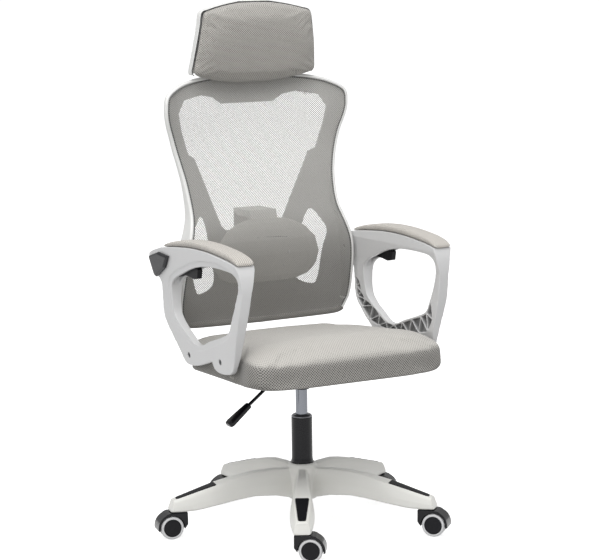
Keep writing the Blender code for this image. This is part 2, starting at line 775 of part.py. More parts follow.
def arm_pad_shape(way):
    """A crowned pad that follows the arm's arched top."""
    rings = []
    for y, rise, half in (
        (-0.2110, 0.0050, 0.0215),
        (-0.2085, 0.0088, 0.0232),
        (-0.2000, 0.0130, 0.0240),
        (-0.1800, 0.0158, 0.0242),
        (-0.1400, 0.0175, 0.0242),
        (-0.0900, 0.0175, 0.0242),
        (-0.0400, 0.0175, 0.0242),
        (0.0200, 0.0170, 0.0240),
        (0.0800, 0.0150, 0.0235),
        (0.1200, 0.0120, 0.0225),
        (0.1480, 0.0080, 0.0200),
        (0.1580, 0.0035, 0.0160),
    ):
        low = pad_base(max(y, -0.2065)) + 0.0006
        ring = []
        for x, z in oval(half, -1.0, 1.0, 3.4, 16):
            share = 0.55 + 0.45 * z if z > 0 else 0.55 * (1 + z)
            ring.append(Vector((way * PAD_CENTRE + x, y, low + rise * share)))
        rings.append(ring)
    return loft(rings)


def pivot_cover_shape(way):
    """A faceted triangular cap over the recline bolt, standing out of the arm's outer face."""
    outline = (
        (0.1100, 0.6480), (0.1600, 0.6530), (0.2120, 0.6380),
        (0.1880, 0.5940), (0.1790, 0.5920), (0.1310, 0.6190),
    )
    centre = np.mean(outline, axis=0)
    rings = []
    for shrink, proud in ((1.0, 0.0004), (1.0, 0.0045), (0.86, 0.0085)):
        ring = []
        for point in outline:
            y, z = centre + (np.array(point) - centre) * shrink
            ring.append(Vector((way * (arm_outer(z) + proud), y, z)))
        rings.append(ring)
    return loft(rings)


def trigger_shape(way):
    """A short lever that hangs in the arm's slot, its end turned down for the fingers."""
    outline = (
        (0.1045, 0.6060),
        (0.0960, 0.6160),
        (0.0700, 0.6200),
        (0.0370, 0.6270),
        (0.0060, 0.6320),
        (0.0000, 0.6280),
        (0.0040, 0.6075),
        (0.0220, 0.6040),
        (0.0460, 0.6075),
        (0.0720, 0.6085),
        (0.0960, 0.6010),
    )
    centre = arm_x(0.5, 0.615)
    return prism(outline, "X", *sorted((way * (centre - TRIGGER_HALF), way * (centre + TRIGGER_HALF))))


def bolt_shape(start, head_at, radius, head_radius, head_height, segments=12):
    """A bolt from start towards its head, with a socket in the head."""
    start = Vector(start)
    along = Vector(head_at) - start
    length = along.length
    profile = [
        (0.0, 0.0),
        (radius, 0.0),
        (radius, length),
        (head_radius, length),
        (head_radius, length + head_height),
        (head_radius * 0.45, length + head_height),
        (head_radius * 0.45, length + head_height * 0.4),
        (0.0, length + head_height * 0.4),
    ]
    turn = along.to_track_quat("Z", "Y").to_matrix().to_4x4()
    return moved(turned(profile, segments), Matrix.Translation(start) @ turn)


def build_seat(finish, seat):
    solid("seat_pan", seat_pan_shape(), finish["black_plastic"], seat, 30)
    solid("seat_cushion", seat_cushion_shape(), finish["grey_fabric"], seat, 60)
    for way, side in ((-1, "right"), (1, "left")):
        solid(f"arm_{side}", arm_shape(way), finish["white_plastic"], seat, 30)
        solid(f"arm_pad_{side}", arm_pad_shape(way), finish["grey_fabric"], seat, 60)
        solid(f"pivot_cover_{side}", pivot_cover_shape(way), finish["dark_plastic"], seat, 15)
        for place, (y, z) in zip(("front", "rear"), BOLT_PLACES):
            head = arm_outer(z) - 0.0051
            shank = ((way * FLANGE_INNER, y, z), (way * head, y, z))
            bolt = bolt_shape(*shank, ARM_BOLT_RADIUS, ARM_BOLT_HEAD, 0.0030)
            solid(f"arm_bolt_{place}_{side}", bolt, finish["steel"], seat)
        head = arm_outer(HINGE_Z) - 0.0080
        hinge = ((way * 0.2200, HINGE_Y, HINGE_Z), (way * head, HINGE_Y, HINGE_Z))
        bolt = bolt_shape(*hinge, HINGE_RADIUS, RECLINE_BOLT_HEAD, 0.0060, 16)
        solid(f"recline_bolt_{side}", bolt, finish["steel"], seat)
        trigger = pivot(f"trigger_{side}_pivot", (way * arm_x(0.5, 0.615), *TRIGGER_PIVOT), seat)
        solid(f"trigger_{side}", trigger_shape(way), finish["black_plastic"], trigger, 20)


# ---- Backrest ----
# The mesh's edge: half-width and depth by height, and how far the middle bows back behind the sides.
back_half = smooth_value(
    (0.460, 0.2130), (0.480, 0.2190), (0.514, 0.2236), (0.544, 0.2246), (0.604, 0.2214), (0.650, 0.2150),
    (0.694, 0.2025), (0.724, 0.1946), (0.754, 0.1925), (0.800, 0.1955), (0.844, 0.2036), (0.904, 0.2195),
    (0.964, 0.2370), (1.045, 0.2370),
)
back_depth = smooth_value(
    (0.440, 0.168), (0.480, 0.1655), (0.520, 0.1555), (0.574, 0.1420), (0.624, 0.1315), (0.659, 0.1290),
    (0.694, 0.1360), (0.744, 0.1575), (0.794, 0.1730), (0.854, 0.1860), (0.904, 0.1895), (0.964, 0.1840),
    (1.000, 0.1825), (1.060, 0.1820),
)
mesh_bow = smooth_value(
    (0.440, 0.026), (0.540, 0.009), (0.640, 0.0005), (0.740, 0.004), (0.840, 0.016), (0.940, 0.038),
    (1.030, 0.060), (1.060, 0.062),
)
rim_depth = smooth_value(
    (0.440, 0.020), (0.500, 0.030), (0.560, 0.043), (0.620, 0.054), (0.660, 0.050), (0.700, 0.040),
    (0.760, 0.026), (0.840, 0.016), (0.940, 0.012), (1.060, 0.012),
)
plate_bow = smooth_value(
    (0.440, 0.030), (0.540, 0.042), (0.620, 0.062), (0.700, 0.066), (0.860, 0.056), (0.960, 0.056),
    (1.030, 0.062), (1.060, 0.062),
)
RIM_WIDTH = 0.009
PLATE_THICKNESS = 0.004
BOW_HALF = 0.237
# One side of the mesh's outline below and above the stretch that back_half gives, as (x, z).
BACK_BOTTOM = (
    (0.0, 0.4670), (0.110, 0.4690), (0.185, 0.4720), (0.2085, 0.4770), (0.2165, 0.4880),
)
BACK_TOP = (
    (0.2370, 0.9900), (0.2320, 1.0030), (0.2153, 1.0145), (0.1844, 1.0265), (0.1353, 1.0350),
    (0.070, 1.0400), (0.0, 1.0415),
)
UPPER_WINDOW = (
    (0.0, 0.9790), (0.0700, 0.9795), (0.0950, 0.9960), (0.1280, 1.0020), (0.1810, 0.9930), (0.1990, 0.9640),
    (0.1910, 0.9240), (0.1720, 0.8660), (0.1540, 0.8570), (0.0790, 0.6865), (0.0650, 0.6790), (0.0, 0.6780),
)
SIDE_WINDOW = (
    (0.1480, 0.7200), (0.1290, 0.6800), (0.1090, 0.6000), (0.1130, 0.5540), (0.1530, 0.5360), (0.1680, 0.5540),
    (0.1820, 0.6300), (0.1860, 0.6650), (0.1740, 0.6900),
)
LUMBAR_FRONT = 0.012  # the lumbar pad's two faces, behind the mesh's front
LUMBAR_BACK = 0.023
lumbar_half = smooth_value(
    (0.5580, 0.0600), (0.5610, 0.0900), (0.5720, 0.1200), (0.5950, 0.1380), (0.6250, 0.1420),
    (0.6600, 0.1300), (0.6850, 0.1080), (0.7000, 0.0800), (0.7075, 0.0550), (0.7100, 0.0300),
)
HOOK_LOW = 0.7130


def fabric_y(x, z):
    """Front of the rim and of the mesh."""
    return back_depth(z) + mesh_bow(z) * (1 - min(abs(x) / BOW_HALF, 1.0) ** 2)


def plate_y(x, z):
    """Front of the frame's plate, which meets the rim and bows back further than the mesh."""
    return back_depth(z) + rim_depth(z) - 0.005 + plate_bow(z) * (1 - min(abs(x) / back_half(z), 1.0) ** 2)


def mirrored(half):
    """A closed outline from one that starts and ends at X = 0."""
    return list(half) + [(-x, z) for x, z in reversed(half[1:-1])]


def back_outline():
    side = [(back_half(z), z) for z in np.linspace(0.505, 0.970, 12)]
    half = curve(BACK_BOTTOM, 2)[:-1] + side + curve(BACK_TOP, 2)
    return mirrored(half)


def offset_outline(line, distance):
    """The outline moved outwards in its own plane."""
    points = np.array(line)
    before = np.roll(points, 1, axis=0)
    after = np.roll(points, -1, axis=0)
    along = after - before
    normal = np.stack([along[:, 1], -along[:, 0]], axis=1)
    normal /= np.linalg.norm(normal, axis=1)[:, None]
    return [tuple(p) for p in points + normal * distance]


def rim_shape():
    inner = back_outline()
    middle = offset_outline(inner, RIM_WIDTH * 0.45)
    outer = offset_outline(inner, RIM_WIDTH)
    rings = []
    for (ix, iz), (mx, mz), (ox, oz) in zip(inner, middle, outer):
        front = fabric_y(ix, iz) - 0.0005
        back = front + rim_depth(iz)
        rings.append(
            [
                Vector((ix, front + 0.0015, iz)),
                Vector((mx, front - 0.0015, mz)),
                Vector((ox, front + 0.0025, oz)),
                Vector((ox, back - 0.0020, oz)),
                Vector((ix, back, iz)),
            ]
        )
    return loft(rings, "loop")


def plate_shape():
    """A bowed sheet over the whole back, cut to the frame's outline and windows."""
    across = np.linspace(-0.25, 0.25, 9)
    heights = np.linspace(0.45, 1.06, 14)
    rings = []
    for z in heights:
        front = [Vector((x, plate_y(x, z), z)) for x in across]
        back = [Vector((x, plate_y(x, z) + PLATE_THICKNESS, z)) for x in reversed(across)]
        rings.append(front + back)
    sheet = loft(rings)
    cut = prism(offset_outline(back_outline(), 0.004), "Y", 0.05, 0.40)
    windows = [prism(mirrored(UPPER_WINDOW), "Y", 0.0, 0.5)]
    side = curve(SIDE_WINDOW, 2, closed=True)
    windows.append(prism(side, "Y", 0.0, 0.5))
    windows.append(prism([(-x, z) for x, z in side], "Y", 0.0, 0.5))
    return combine(sheet, ("INTERSECT", cut), *[("DIFFERENCE", w) for w in windows])


def back_frame_shape():
    steps = [("UNION", plate_shape())]
    # Plate that carries the headrest, stepped back behind the top of the frame
    boss_front = plate_y(0, 1.0) + 0.0005
    boss = [(-0.052, 0.984), (0.052, 0.984), (0.060, 1.040), (-0.060, 1.040)]
    steps.append(("UNION", prism(boss, "Y", boss_front, boss_front + 0.030)))
    slot = block((-0.0304, boss_front + 0.0126, 0.90), (0.0304, boss_front + 0.0194, 1.10))
    steps.append(("DIFFERENCE", slot))
    for way in (-1, 1):
        lug = rod((way * 0.2200, HINGE_Y, HINGE_Z), (way * 0.2328, HINGE_Y, HINGE_Z), 0.0160, 16)
        steps.append(("UNION", lug))
        bore = rod((way * 0.2190, HINGE_Y, HINGE_Z), (way * 0.26, HINGE_Y, HINGE_Z), HINGE_RADIUS + GAP, 16)
        steps.append(("DIFFERENCE", bore))
    return combine(rim_shape(), *steps)


def back_mesh_shape():
    """The stretched fabric: a thin sheet inside the rim."""
    heights = list(np.linspace(0.4755, 1.026, 15))
    rings = []
    for z in heights:
        half = mesh_half(z) - 0.0022
        across = np.linspace(-half, half, 7)
        front = [Vector((x, fabric_y(x, z) + 0.0008, z)) for x in across]
        back = [Vector((x, fabric_y(x, z) + 0.0026, z)) for x in reversed(across)]
        rings.append(front + back)
    return loft(rings)


def mesh_half(z):
    """Half-width of the mesh at a height, all the way to its rounded corners."""
    if z < 0.505:
        low = curve(BACK_BOTTOM, 4)
        return float(np.interp(z, [p[1] for p in low], [p[0] for p in low]))
    if z > 0.985:
        high = curve(BACK_TOP, 4)[::-1]
        return float(np.interp(-z, [-p[1] for p in high], [p[0] for p in high]))
    return back_half(z)


def lumbar_shape():
    """A bean-shaped pad just behind the mesh, curved like it."""
    rings = []
    for z in (0.5580, 0.5610, 0.5720, 0.5950, 0.6250, 0.6600, 0.6850, 0.7000, 0.7075, 0.7100):
        half = lumbar_half(z)
        edge = min(z - 0.5580, 0.7100 - z)
        thin = 0.35 + 0.65 * min(edge / 0.012, 1.0)
        middle = (LUMBAR_FRONT + LUMBAR_BACK) / 2
        reach = (LUMBAR_BACK - LUMBAR_FRONT) / 2 * thin
        ring = []
        for share, fullness in ((-0.97, 0.4), (-0.8, 1.0), (0, 1.0), (0.8, 1.0), (0.97, 0.4)):
            x = share * half
            ring.append(Vector((x, fabric_y(x, z) + middle - reach * fullness, z)))
        for share in (1.0, 0.5, 0.0, -0.5, -1.0):
            x = share * half
            ring.append(Vector((x, fabric_y(x, z) + LUMBAR_BACK - GAP, z)))
        rings.append(ring)
    return loft(rings)


def lumbar_bracket_shape():
    """A strip behind the pad whose top hooks over towards the back."""
    front = [(fabric_y(0, z) + LUMBAR_BACK + 0.0010, z) for z in (0.705, 0.685, 0.665, 0.645)]
    plate = plate_y(0, 0.668)
    strip = [(front[-1][0] + 0.0045, 0.645), (front[1][0] + 0.0050, 0.690), (front[0][0] + 0.0160, HOOK_LOW)]
    over = [
        (plate - 0.0020, HOOK_LOW),
        (plate - 0.0020, HOOK_LOW + 0.006),
        (plate + 0.0100, HOOK_LOW + 0.006),
    ]
    rear = [(plate + 0.0100, 0.655), (plate + 0.0135, 0.655), (plate + 0.0135, HOOK_LOW + 0.016)]
    top = [(front[0][0] + 0.0080, HOOK_LOW + 0.016), (front[0][0] + 0.0040, HOOK_LOW + 0.010)]
    return prism(front + strip + over + rear + top, "X", -0.036, 0.036)


def headrest_post_shape():
    """The flat post that slides in the frame's plate, with a knuckle at its top."""
    front = plate_y(0, 1.0) + 0.0005 + 0.0130
    post = block((-0.0300, front, 0.9800), (0.0300, front + 0.0060, 1.0850))
    side_view = [
        (front, 1.075),
        (front + 0.006, 1.075),
        (HEAD_TILT_Y + 0.009, 1.100),
        (HEAD_TILT_Y + 0.009, 1.112),
        (HEAD_TILT_Y - 0.006, 1.112),
    ]
    neck = prism(side_view, "X", -0.024, 0.024)
    knuckle = rod((-0.024, HEAD_TILT_Y, HEAD_TILT_Z), (0.024, HEAD_TILT_Y, HEAD_TILT_Z), 0.010, 20)
    return combine(post, ("UNION", neck), ("UNION", knuckle))


HEAD_LOW = 1.0290
HEAD_HIGH = 1.2175
head_half = smooth_value(
    (1.029, 0.035), (1.032, 0.070), (1.037, 0.105), (1.044, 0.138), (1.051, 0.157), (1.060, 0.1625),
    (1.080, 0.1605), (1.123, 0.1550), (1.165, 0.1485), (1.194, 0.1430), (1.201, 0.124), (1.207, 0.100),
    (1.2125, 0.072), (1.2175, 0.040),
)
head_front = smooth_value((1.029, 0.199), (1.060, 0.190), (1.123, 0.176), (1.180, 0.170), (1.2175, 0.176))


def headrest_cushion_shape():
    rows = (HEAD_LOW, 1.0315, 1.037, 1.044, 1.052, 1.062, 1.095, 1.130, 1.165, 1.194, 1.202, 1.210, HEAD_HIGH)
    rings = []
    for z in rows:
        edge = min(z - HEAD_LOW, HEAD_HIGH - z) / 0.016
        thin = 0.55 + 0.45 * math.sqrt(max(1 - (1 - min(edge, 1.0)) ** 2, 0.0))
        half = head_half(z)
        ring = []
        for x, depth in oval(half, -0.5, 0.5, 3.0, 24):
            wrap = -0.010 * (x / 0.155) ** 2
            ring.append(Vector((x, head_front(z) + 0.019 + wrap + depth * thin * 0.036, z)))
        rings.append(ring)
    return loft(rings)


def headrest_shell_shape():
    """The hard back of the headrest, with two ears round the post's knuckle."""
    rows = (1.0545, 1.060, 1.075, 1.110, 1.150, 1.194, 1.203, 1.212, 1.2205)
    rings = []
    for z in rows:
        half = head_half(min(z, 1.2165)) + 0.004
        ring = []
        front = [(x, 0.0) for x in np.linspace(-half, half, 7)]
        back = [(x, 1.0) for x in np.linspace(half, -half, 7)]
        for x, depth in front + back:
            wrap = -0.010 * (x / 0.155) ** 2
            edge = 0.45 if abs(x) > half * 0.99 else 1.0
            ring.append(Vector((x, head_front(z) + 0.0380 + wrap + depth * 0.009 * edge, z)))
        rings.append(ring)
    steps = []
    for way in (-1, 1):
        knee = HEAD_TILT_Y + 0.010
        ear = [
            (0.2270, 1.088),
            (HEAD_TILT_Y, 1.094),
            (knee, 1.100),
            (knee, 1.112),
            (HEAD_TILT_Y, 1.118),
            (0.2185, 1.128),
        ]
        steps.append(("UNION", prism(ear, "X", *sorted((way * 0.0250, way * 0.0330)))))
    return combine(loft(rings), *steps)


def build_backrest(finish, seat):
    back = pivot("backrest_pivot", (0, HINGE_Y, HINGE_Z), seat)
    solid("back_frame", back_frame_shape(), finish["white_plastic"], back, 30)
    solid("back_mesh", back_mesh_shape(), finish["grey_mesh"], back, 60)
    lumbar = pivot("lumbar_slide", (0, 0.18, 0.634), back)
    solid("lumbar_pad", lumbar_shape(), finish["grey_plastic"], lumbar, 40)
    solid("lumbar_bracket", lumbar_bracket_shape(), finish["grey_plastic"], lumbar, 30)
    carrier = pivot("headrest_slide", (0, 0.26, 1.0), back)
    solid("headrest_post", headrest_post_shape(), finish["white_plastic"], carrier, 30)
    head = pivot("headrest_tilt", (0, HEAD_TILT_Y, HEAD_TILT_Z), carrier)
    solid("headrest_shell", headrest_shell_shape(), finish["white_plastic"], head, 40)
    solid("headrest_cushion", headrest_cushion_shape(), finish["grey_fabric"], head, 60)


def main():
    clear_scene()
    finish = {
        "white_plastic": material("white_plastic", (0.80, 0.79, 0.77), 0.38),
        "grey_fabric": material("grey_fabric", (0.42, 0.40, 0.37), 0.90),
        "grey_mesh": material("grey_mesh", (0.36, 0.35, 0.33), 0.85),
        "grey_plastic": material("grey_plastic", (0.45, 0.44, 0.42), 0.55),
        "dark_plastic": material("dark_plastic", (0.06, 0.06, 0.065), 0.45),
        "black_plastic": material("black_plastic", (0.015, 0.015, 0.017), 0.50),
        "black_gloss": material("black_gloss", (0.015, 0.015, 0.016), 0.25),
        "black_metal": material("black_metal", (0.018, 0.018, 0.020), 0.40, 0.3),
        "grey_tyre": material("grey_tyre", (0.55, 0.55, 0.56), 0.60),
        "grey_metal": material("grey_metal", (0.50, 0.50, 0.52), 0.35, 0.8),
        "steel": material("steel", (0.55, 0.55, 0.57), 0.30, 1.0),
        "chrome": material("chrome", (0.62, 0.63, 0.65), 0.12, 1.0),
    }
    root = pivot("chair", (0, 0, 0))
    build_base(finish, root)
    build_casters(finish, root)
    lift = pivot("lift_slide", (0, 0, MECHANISM_BOTTOM), root)
    seat = pivot("seat_swivel", (0, 0, MECHANISM_BOTTOM), lift)
    build_lift(finish, lift, seat)
    build_seat(finish, seat)
    build_backrest(finish, seat)


main()
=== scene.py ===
"""The looks of a reclining mesh office chair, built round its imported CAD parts.

Metres, +Z up, the sitter faces -Y. Shapes are written in the chair's own coordinates, where the gas lift's
axis is X = Y = 0, and finished() moves them to the frame's. Moulded pieces are rounded by a voxel remesh,
padded pieces are swollen by a cloth simulation, and every finish is made of nodes.
"""

import json
import math

import bmesh
import bpy
import numpy as np
from mathutils import Matrix, Vector

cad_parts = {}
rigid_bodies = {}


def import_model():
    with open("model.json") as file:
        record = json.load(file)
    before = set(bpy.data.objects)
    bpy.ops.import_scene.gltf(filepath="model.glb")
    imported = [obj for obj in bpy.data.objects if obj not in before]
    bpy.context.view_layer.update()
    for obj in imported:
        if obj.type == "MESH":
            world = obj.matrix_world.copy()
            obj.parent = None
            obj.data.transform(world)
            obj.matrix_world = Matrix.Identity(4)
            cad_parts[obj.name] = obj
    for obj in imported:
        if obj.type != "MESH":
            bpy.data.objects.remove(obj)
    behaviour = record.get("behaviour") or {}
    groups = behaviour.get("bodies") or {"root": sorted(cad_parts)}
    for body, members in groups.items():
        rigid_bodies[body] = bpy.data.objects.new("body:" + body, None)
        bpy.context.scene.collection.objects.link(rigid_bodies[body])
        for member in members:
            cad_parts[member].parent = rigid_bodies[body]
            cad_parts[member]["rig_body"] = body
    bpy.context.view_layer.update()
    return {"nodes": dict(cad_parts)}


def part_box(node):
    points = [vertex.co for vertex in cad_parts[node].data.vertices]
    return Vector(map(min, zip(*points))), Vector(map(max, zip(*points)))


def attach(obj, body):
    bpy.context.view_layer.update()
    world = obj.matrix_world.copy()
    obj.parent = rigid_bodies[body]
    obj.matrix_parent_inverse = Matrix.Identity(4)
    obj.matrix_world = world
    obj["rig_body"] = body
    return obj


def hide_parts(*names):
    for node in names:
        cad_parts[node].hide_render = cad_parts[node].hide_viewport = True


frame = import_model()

NODES = frame["nodes"]
PISTON_LOW, PISTON_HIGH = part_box("gas_piston")
COLUMN_AT = Vector(((PISTON_LOW.x + PISTON_HIGH.x) / 2, (PISTON_LOW.y + PISTON_HIGH.y) / 2, 0.0))


def mm(*points):
    """A table of points in millimetres, as metres."""
    return tuple(tuple(round(value / 1000, 6) for value in point) for point in points)


# ---- Driving dimensions ----
LEG_COUNT = 5
FIRST_LEG = math.radians(-30.4)  # direction of the front leg, from -Y towards +X
STEM_CIRCLE = 0.3
CASTER_TRAIL = 0.02
CASTER_YAWS = (-36.0, -47.0, -40.0, 165.0, 167.0)
WHEEL_RADIUS = 0.027
WHEEL_INNER = 0.0035
WHEEL_WELL = 0.029
HOOD_TOP = 0.062
HOOD_RADIUS = 0.0335
HOOD_HALF = 0.022
HOOD_WEB = 0.0054
STEM_RADIUS = 0.0055
STEM_BOTTOM = 0.0545
AXLE_RADIUS = 0.003

TUBE_RADIUS = 0.0245
TUBE_TOP = 0.261
PISTON_RADIUS = 0.014

FLANGE_FRONT = -0.125
FLANGE_REAR = 0.072
ARM_CLEAR = 0.25  # half-width of the seat between the arms, before it swells

HINGE_Y = 0.165
HINGE_Z = 0.628
ARM_OUTER_TOP = 0.28
ARM_TOP = 0.66
ARM_LEAN = 0.058
ARM_STEPS = (0.43, 0.46, 0.54, 0.6, 0.652)
ARM_THICKNESS = (0.0115, 0.018, 0.0255, 0.0345, 0.047)

CLOTH_FRAMES = 20
CLOTH_PRESSURE = 5.0
CLOTH_STIFFNESS = 15.0

BOW_HALF = 0.237
RIM_WIDTH = 0.009
PLATE_THICKNESS = 0.004


# ---- Shape kit ----
def curve(knots, steps, closed=False):
    """A smooth line through the knots (Catmull-Rom), with steps points for each span."""
    knots = [np.array(k, float) for k in knots]
    count = len(knots)
    line = []
    for i in range(count if closed else count - 1):
        if closed:
            a, b, c, d = (knots[(i + k) % count] for k in (-1, 0, 1, 2))
        else:
            a, b, c, d = (knots[min(max(i + k, 0), count - 1)] for k in (-1, 0, 1, 2))
        for s in range(steps):
            t = s / steps
            square = (2 * a - 5 * b + 4 * c - d) * t**2
            cube = (3 * b - a - 3 * c + d) * t**3
            line.append(0.5 * (2 * b + (c - a) * t + square + cube))
    if not closed:
        line.append(knots[-1])
    return [tuple(float(v) for v in p) for p in line]


def smooth_value(*knots):
    """A smooth function, in metres, through (place, value) knots that are in millimetres."""
    line = np.array(curve(mm(*knots), 12))
    return lambda at: float(np.interp(at, line[:, 0], line[:, 1]))


def oval(half_x, low, high, power, count):
    """A rounded rectangle about X = 0 as (x, z) points: a superellipse."""
    middle = (low + high) / 2
    half_z = (high - low) / 2
    points = []
    for i in range(count):
        angle = 2 * math.pi * (i + 0.5) / count
        x = math.copysign(abs(math.cos(angle)) ** (2 / power), math.cos(angle))
        z = math.copysign(abs(math.sin(angle)) ** (2 / power), math.sin(angle))
        points.append((half_x * x, middle + half_z * z))
    return points


def loft(rings, ends="closed"):
    """A skin over rings of equal length. ends is closed, or loop where the last ring meets the first."""
    count = len(rings[0])
    vertices = [v for ring in rings for v in ring]
    faces = []
    for i in range(len(rings) if ends == "loop" else len(rings) - 1):
        a = i * count
        b = (i + 1) % len(rings) * count
        for j in range(count):
            k = (j + 1) % count
            faces.append((a + j, a + k, b + k, b + j))
    if ends == "closed":
        faces.append(tuple(range(count))[::-1])
        faces.append(tuple(range(len(vertices) - count, len(vertices))))
    return vertices, faces


def turned(profile, segments):
    """A profile of (radius, height) points turned about Z. It is closed on the axis or on itself."""
    vertices = []
    rows = []
    for radius, height in profile:
        if radius == 0.0:
            rows.append([len(vertices)])
            vertices.append(Vector((0, 0, height)))
            continue
        rows.append(list(range(len(vertices), len(vertices) + segments)))
        for i in range(segments):
            angle = 2 * math.pi * i / segments
            vertices.append(Vector((radius * math.cos(angle), radius * math.sin(angle), height)))
    if len(rows[0]) > 1:
        rows.append(rows[0])
    faces = []
    for low, high in zip(rows, rows[1:]):
        for i in range(segments):
            k = (i + 1) % segments
            if len(low) == 1:
                faces.append((low[0], high[k], high[i]))
            elif len(high) == 1:
                faces.append((low[i], low[k], high[0]))
            else:
                faces.append((low[i], low[k], high[k], high[i]))
    return vertices, faces


def moved(shape, matrix):
    return [matrix @ Vector(v) for v in shape[0]], shape[1]


def rod(start, end, radius, segments):
    start = Vector(start)
    along = Vector(end) - start
    upright = turned([(0.0, 0.0), (radius, 0.0), (radius, along.length), (0.0, along.length)], segments)
    return moved(upright, Matrix.Translation(start) @ along.to_track_quat("Z", "Y").to_matrix().to_4x4())


def prism(outline, axis, low, high):
    """An outline in the plane square to axis (YZ for X, XZ for Y), drawn out from low to high."""
    place = {
        "X": lambda p, t: Vector((t, p[0], p[1])),
        "Y": lambda p, t: Vector((p[0], t, p[1])),
    }[axis]
    return loft([[place(p, low) for p in outline], [place(p, high) for p in outline]])


def loose_object(shape, name="loose"):
    mesh = bpy.data.meshes.new(name)
    mesh.from_pydata([tuple(v) for v in shape[0]], [], shape[1])
    form = bmesh.new()
    form.from_mesh(mesh)
    bmesh.ops.remove_doubles(form, verts=form.verts, dist=1e-6)
    bmesh.ops.recalc_face_normals(form, faces=form.faces)
    form.to_mesh(mesh)
    form.free()
    obj = bpy.data.objects.new(name, mesh)
    bpy.context.scene.collection.objects.link(obj)
    return obj


def shape_of(mesh):
    return [v.co.copy() for v in mesh.vertices], [tuple(p.vertices) for p in mesh.polygons]


def modify(obj, kind, **settings):
    made = obj.modifiers.new(kind.lower(), kind)
    for key, value in settings.items():
        setattr(made, key, value)
    return made


def settle(obj):
    """Applies an object's modifiers."""
    bpy.context.view_layer.update()
    graph = bpy.context.evaluated_depsgraph_get()
    result = bpy.data.meshes.new_from_object(obj.evaluated_get(graph))
    obj.modifiers.clear()
    obj.data = result


def combine(shape, *steps):
    """(vertices, faces) after Boolean steps, each an operation name and another shape."""
    base = loose_object(shape)
    for operation, other in steps:
        tool = loose_object(other)
        modify(base, "BOOLEAN", operation=operation, object=tool)
        settle(base)
        bpy.data.objects.remove(tool)
    result = shape_of(base.data)
    bpy.data.objects.remove(base)
    return result


def without(shape, *others):
    """A shape with others cut out of it."""
    return combine(shape, *[("DIFFERENCE", other) for other in others])


def cad_shape(node):
    """A CAD node's own shape, in the chair's coordinates."""
    return moved(shape_of(NODES[node].data), Matrix.Translation(-COLUMN_AT))


# ---- Pieces ----
def read(items, name, width=1, kind=float):
    """An attribute of all vertices, faces or corners as an array, one row for each."""
    values = np.empty(len(items) * width, kind)
    items.foreach_get(name, values)
    return values.reshape(-1, width) if width > 1 else values


def add_weave_map(mesh):
    """A UV map in metres, laid on each face from the side that it faces most, for the fabrics to follow."""
    layer = mesh.uv_layers.new(name="weave")
    sizes = read(mesh.polygons, "loop_total", kind=int)
    facing = np.repeat(np.abs(read(mesh.polygons, "normal", 3)).argmax(1), sizes)
    at = read(mesh.vertices, "co", 3)[read(mesh.loops, "vertex_index", kind=int)]
    u = np.where(facing == 0, at[:, 1], at[:, 0])
    v = np.where(facing == 2, at[:, 1], at[:, 2])
    layer.data.foreach_set("uv", np.stack([u, v], 1).ravel())


def finished(obj, name, material, cad_node, slot=None, extra=False, smooth=40.0):
    """Names a piece made in the chair's coordinates, moves it to the frame's, and gives it its finish.

    It rides a CAD node's body, and replaces the node unless it is extra. The slot argument is not used.
    """
    obj.name = name
    obj.data.transform(Matrix.Translation(COLUMN_AT))
    obj.data.materials.clear()
    obj.data.materials.append(material)
    obj.data.shade_smooth()
    if smooth:
        obj.data.set_sharp_from_angle(angle=math.radians(smooth))
    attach(obj, NODES[cad_node]["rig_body"])
    if not extra:
        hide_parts(cad_node)
    return obj


def crisp(name, shape, material, cad_node, **more):
    """A piece that keeps its edges."""
    return finished(loose_object(shape), name, material, cad_node, **more)


def rounded(name, cad_node, voxel, rounds, material, keep=0.45, shape=None):
    """A CAD node's moulding, with its edges rounded, made from the node's own shape or a finer one."""
    obj = loose_object(shape or cad_shape(cad_node))
    modify(obj, "REMESH", mode="VOXEL", voxel_size=voxel)
    modify(obj, "SMOOTH", iterations=rounds)
    modify(obj, "DECIMATE", ratio=keep)
    settle(obj)
    return finished(obj, name, material, cad_node, smooth=None)


def dress(cad_node, material):
    """A CAD node whose shape is right keeps it, and takes a finish."""
    mesh_object = NODES[cad_node]
    mesh_object.data.materials.clear()
    mesh_object.data.materials.append(material)


def swell(obj, voxel, cap, is_held, rounds):
    """Fills a pad as a cloth bag under pressure. No point moves further than cap, and the base is held."""
    modify(obj, "REMESH", mode="VOXEL", voxel_size=voxel)
    modify(obj, "SMOOTH", iterations=rounds)
    settle(obj)
    before = read(obj.data.vertices, "co", 3)
    held = obj.vertex_groups.new(name="held")
    held.add([i for i, p in enumerate(before) if is_held(p)], 1.0, "REPLACE")
    cloth = modify(obj, "CLOTH")
    how = cloth.settings
    how.quality = 4
    how.use_pressure = True
    how.uniform_pressure_force = CLOTH_PRESSURE
    how.tension_stiffness = CLOTH_STIFFNESS
    how.compression_stiffness = CLOTH_STIFFNESS
    how.vertex_group_mass = "held"
    how.effector_weights.gravity = 0.0
    cloth.collision_settings.use_collision = False
    cloth.point_cache.frame_start = 1
    cloth.point_cache.frame_end = CLOTH_FRAMES
    for number in range(1, CLOTH_FRAMES + 1):
        bpy.context.scene.frame_set(number)
    settle(obj)
    obj.vertex_groups.clear()
    bpy.context.scene.frame_set(1)
    way = read(obj.data.vertices, "co", 3) - before
    far = np.linalg.norm(way, axis=1)
    reach = cap * np.tanh(far / cap)
    way *= (reach / np.maximum(far, 1e-9))[:, None]
    obj.data.vertices.foreach_set("co", (before + way).ravel())
    modify(obj, "SUBSURF", levels=1, render_levels=1)
    settle(obj)


